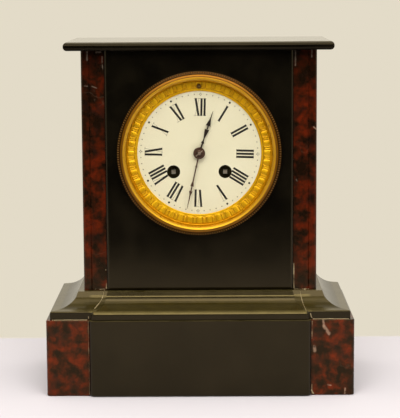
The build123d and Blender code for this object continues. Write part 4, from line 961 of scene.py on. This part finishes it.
def joint_putty():
    """Each line is an uneven bead pressed against the stone."""
    fronts = stone_fronts()
    chance = random.Random(7)
    bm = bmesh.new()
    for half, points in PUTTY_LINES:
        before = None
        swell = 1.0
        for x, z, along_x, along_z in spaced(points, PUTTY_GAP):
            swell += chance.uniform(-SWELL_CHANGE, SWELL_CHANGE)
            swell = min(SWELL_MOST, max(SWELL_LEAST, swell))
            sides = [(share * half * swell, lift) for share, lift in BEAD]
            places = [pressed(fronts, x - along_z * off, z + along_x * off, lift) for off, lift in sides]
            ring = [bm.verts.new(p) for p in places] if all(places) else None
            if ring and before:
                for k in range(len(BEAD)):
                    bm.faces.new((before[k], before[k - 1], ring[k - 1], ring[k]))
            elif before:
                bm.faces.new(before)
            elif ring:
                bm.faces.new(ring)
            before = ring
        if before:
            bm.faces.new(before)
    piece("joint_putty", bm, [PUTTY], "case", PUTTY_CREASE)


dial_figures()
embossed_ring()
regulator_eyelet()
milled_edge()
joint_putty()


# Stage

# The table's half size and middle in metres
TABLE_HALF = (12.0, 20.3, 1.0)
TABLE_MIDDLE = (0.0, 19.68, -0.0002)

# Where the table turns into the wall behind, in millimetres
TABLE_EDGE = (150.0, 160.0)

TABLE_COLOUR = (0.665, 0.655, 0.75)
WALL_COLOUR = (0.768, 0.708, 0.577)
DIM_COLOUR = (0.012, 0.010, 0.008)
NO_COLOUR = (0.0, 0.0, 0.0)
LAMP_COLOUR = (1.0, 0.95, 0.86)

# Directions between which the room turns dark: toward the front, and downward
DIM_FRONT = (-0.35, -0.8)
DIM_LOW = (0.55, 0.1)

# The eye in millimetres, how its look is turned in degrees, and its focal length in pixels of the frame
EYE_X, EYE_AHEAD, EYE_Z = 9.24, 1306.6, 334.97
LOOK_DOWN, LOOK_LEFT, LEAN = 7.916, 0.384, 0.358
FOCAL_PIXELS = 1646.3
FRAME_PIXELS = 418.0
SENSOR = 36.0


def table_top():
    """A pale table. Past its back edge the same plane carries the colour of the wall behind."""
    bm = bmesh.new()
    bmesh.ops.create_grid(bm, x_segments=1, y_segments=1, size=1.0)
    bmesh.ops.scale(bm, vec=TABLE_HALF, verts=bm.verts)
    bmesh.ops.translate(bm, vec=TABLE_MIDDLE, verts=bm.verts)
    mesh = bpy.data.meshes.new("table_top")
    bm.to_mesh(mesh)
    bm.free()
    f = Finish("pale_table")
    wall = f.band(f.y, *TABLE_EDGE)
    mesh.materials.append(f.wear(
        Base_Color=f.blend(wall, TABLE_COLOUR, NO_COLOUR), Roughness=0.85, Specular_IOR_Level=0.0,
        Emission_Color=f.blend(wall, NO_COLOUR, WALL_COLOUR), Emission_Strength=1.0,
    ))
    made = bpy.data.objects.new("table_top", mesh)
    bpy.context.scene.collection.objects.link(made)


def room():
    """A soft room: pale behind and above, dark in front of the clock below eye level."""
    world = bpy.data.worlds.new("room")
    bpy.context.scene.world = world
    world.use_nodes = True
    work = NodeWork(world.node_tree)
    _, back, up = work.axes(work.node("ShaderNodeTexCoord", out="Generated"))
    seen = work.node("ShaderNodeLightPath", out="Is Camera Ray")
    dark = work.band(back, *DIM_FRONT) * work.band(up, *DIM_LOW) * (1.0 - seen)
    tone = work.blend(dark, WALL_COLOUR, DIM_COLOUR)
    sky = work.node("ShaderNodeBackground", {}, {"Color": tone, "Strength": 1.0})
    work.node("ShaderNodeOutputWorld", {}, {"Surface": sky})


def lamp(name, place, target, size, power):
    """A soft rectangular lamp that points at a target."""
    light = bpy.data.lights.new(name, "AREA")
    light.shape = "RECTANGLE"
    light.size, light.size_y = size
    light.energy = power
    light.color = LAMP_COLOUR
    made = bpy.data.objects.new(name, light)
    made.location = place
    made.rotation_euler = (Vector(target) - Vector(place)).to_track_quat("-Z", "Y").to_euler()
    bpy.context.scene.collection.objects.link(made)


def viewpoint():
    """The photograph's place of view, fitted to the edges of the case."""
    pitch, yaw, roll = (math.radians(angle) for angle in (LOOK_DOWN, LOOK_LEFT, LEAN))
    ahead = Vector((-math.sin(yaw) * math.cos(pitch), math.cos(yaw) * math.cos(pitch), -math.sin(pitch)))
    level = Vector((math.cos(yaw), math.sin(yaw), 0))
    up = level.cross(ahead)
    right = level * math.cos(roll) - up * math.sin(roll)
    top = level * math.sin(roll) + up * math.cos(roll)
    data = bpy.data.cameras.new("viewpoint")
    data.sensor_width = SENSOR
    data.lens = FOCAL_PIXELS * SENSOR / FRAME_PIXELS
    data.clip_start, data.clip_end = 0.05, 50.0
    made = bpy.data.objects.new("viewpoint", data)
    turn = Matrix((right, top, -ahead)).transposed().to_4x4()
    made.matrix_world = Matrix.Translation(spot(EYE_X, -EYE_AHEAD, EYE_Z)) @ turn
    bpy.context.scene.collection.objects.link(made)
    bpy.context.scene.camera = made


table_top()
room()
lamp("ceiling", place=(0.0, -0.15, 1.9), target=(0, -0.1, 0.1), size=(1.6, 0.9), power=9.0)
lamp("soft_box", place=(0.0, -1.25, 1.25), target=(0, 0, 0.17), size=(1.5, 1.1), power=26.0)
lamp("side_box", place=(1.2, -1.3, 0.9), target=(0, 0, 0.15), size=(0.7, 0.9), power=3.4)
viewpoint()
bpy.context.scene.view_settings.view_transform = "Standard"
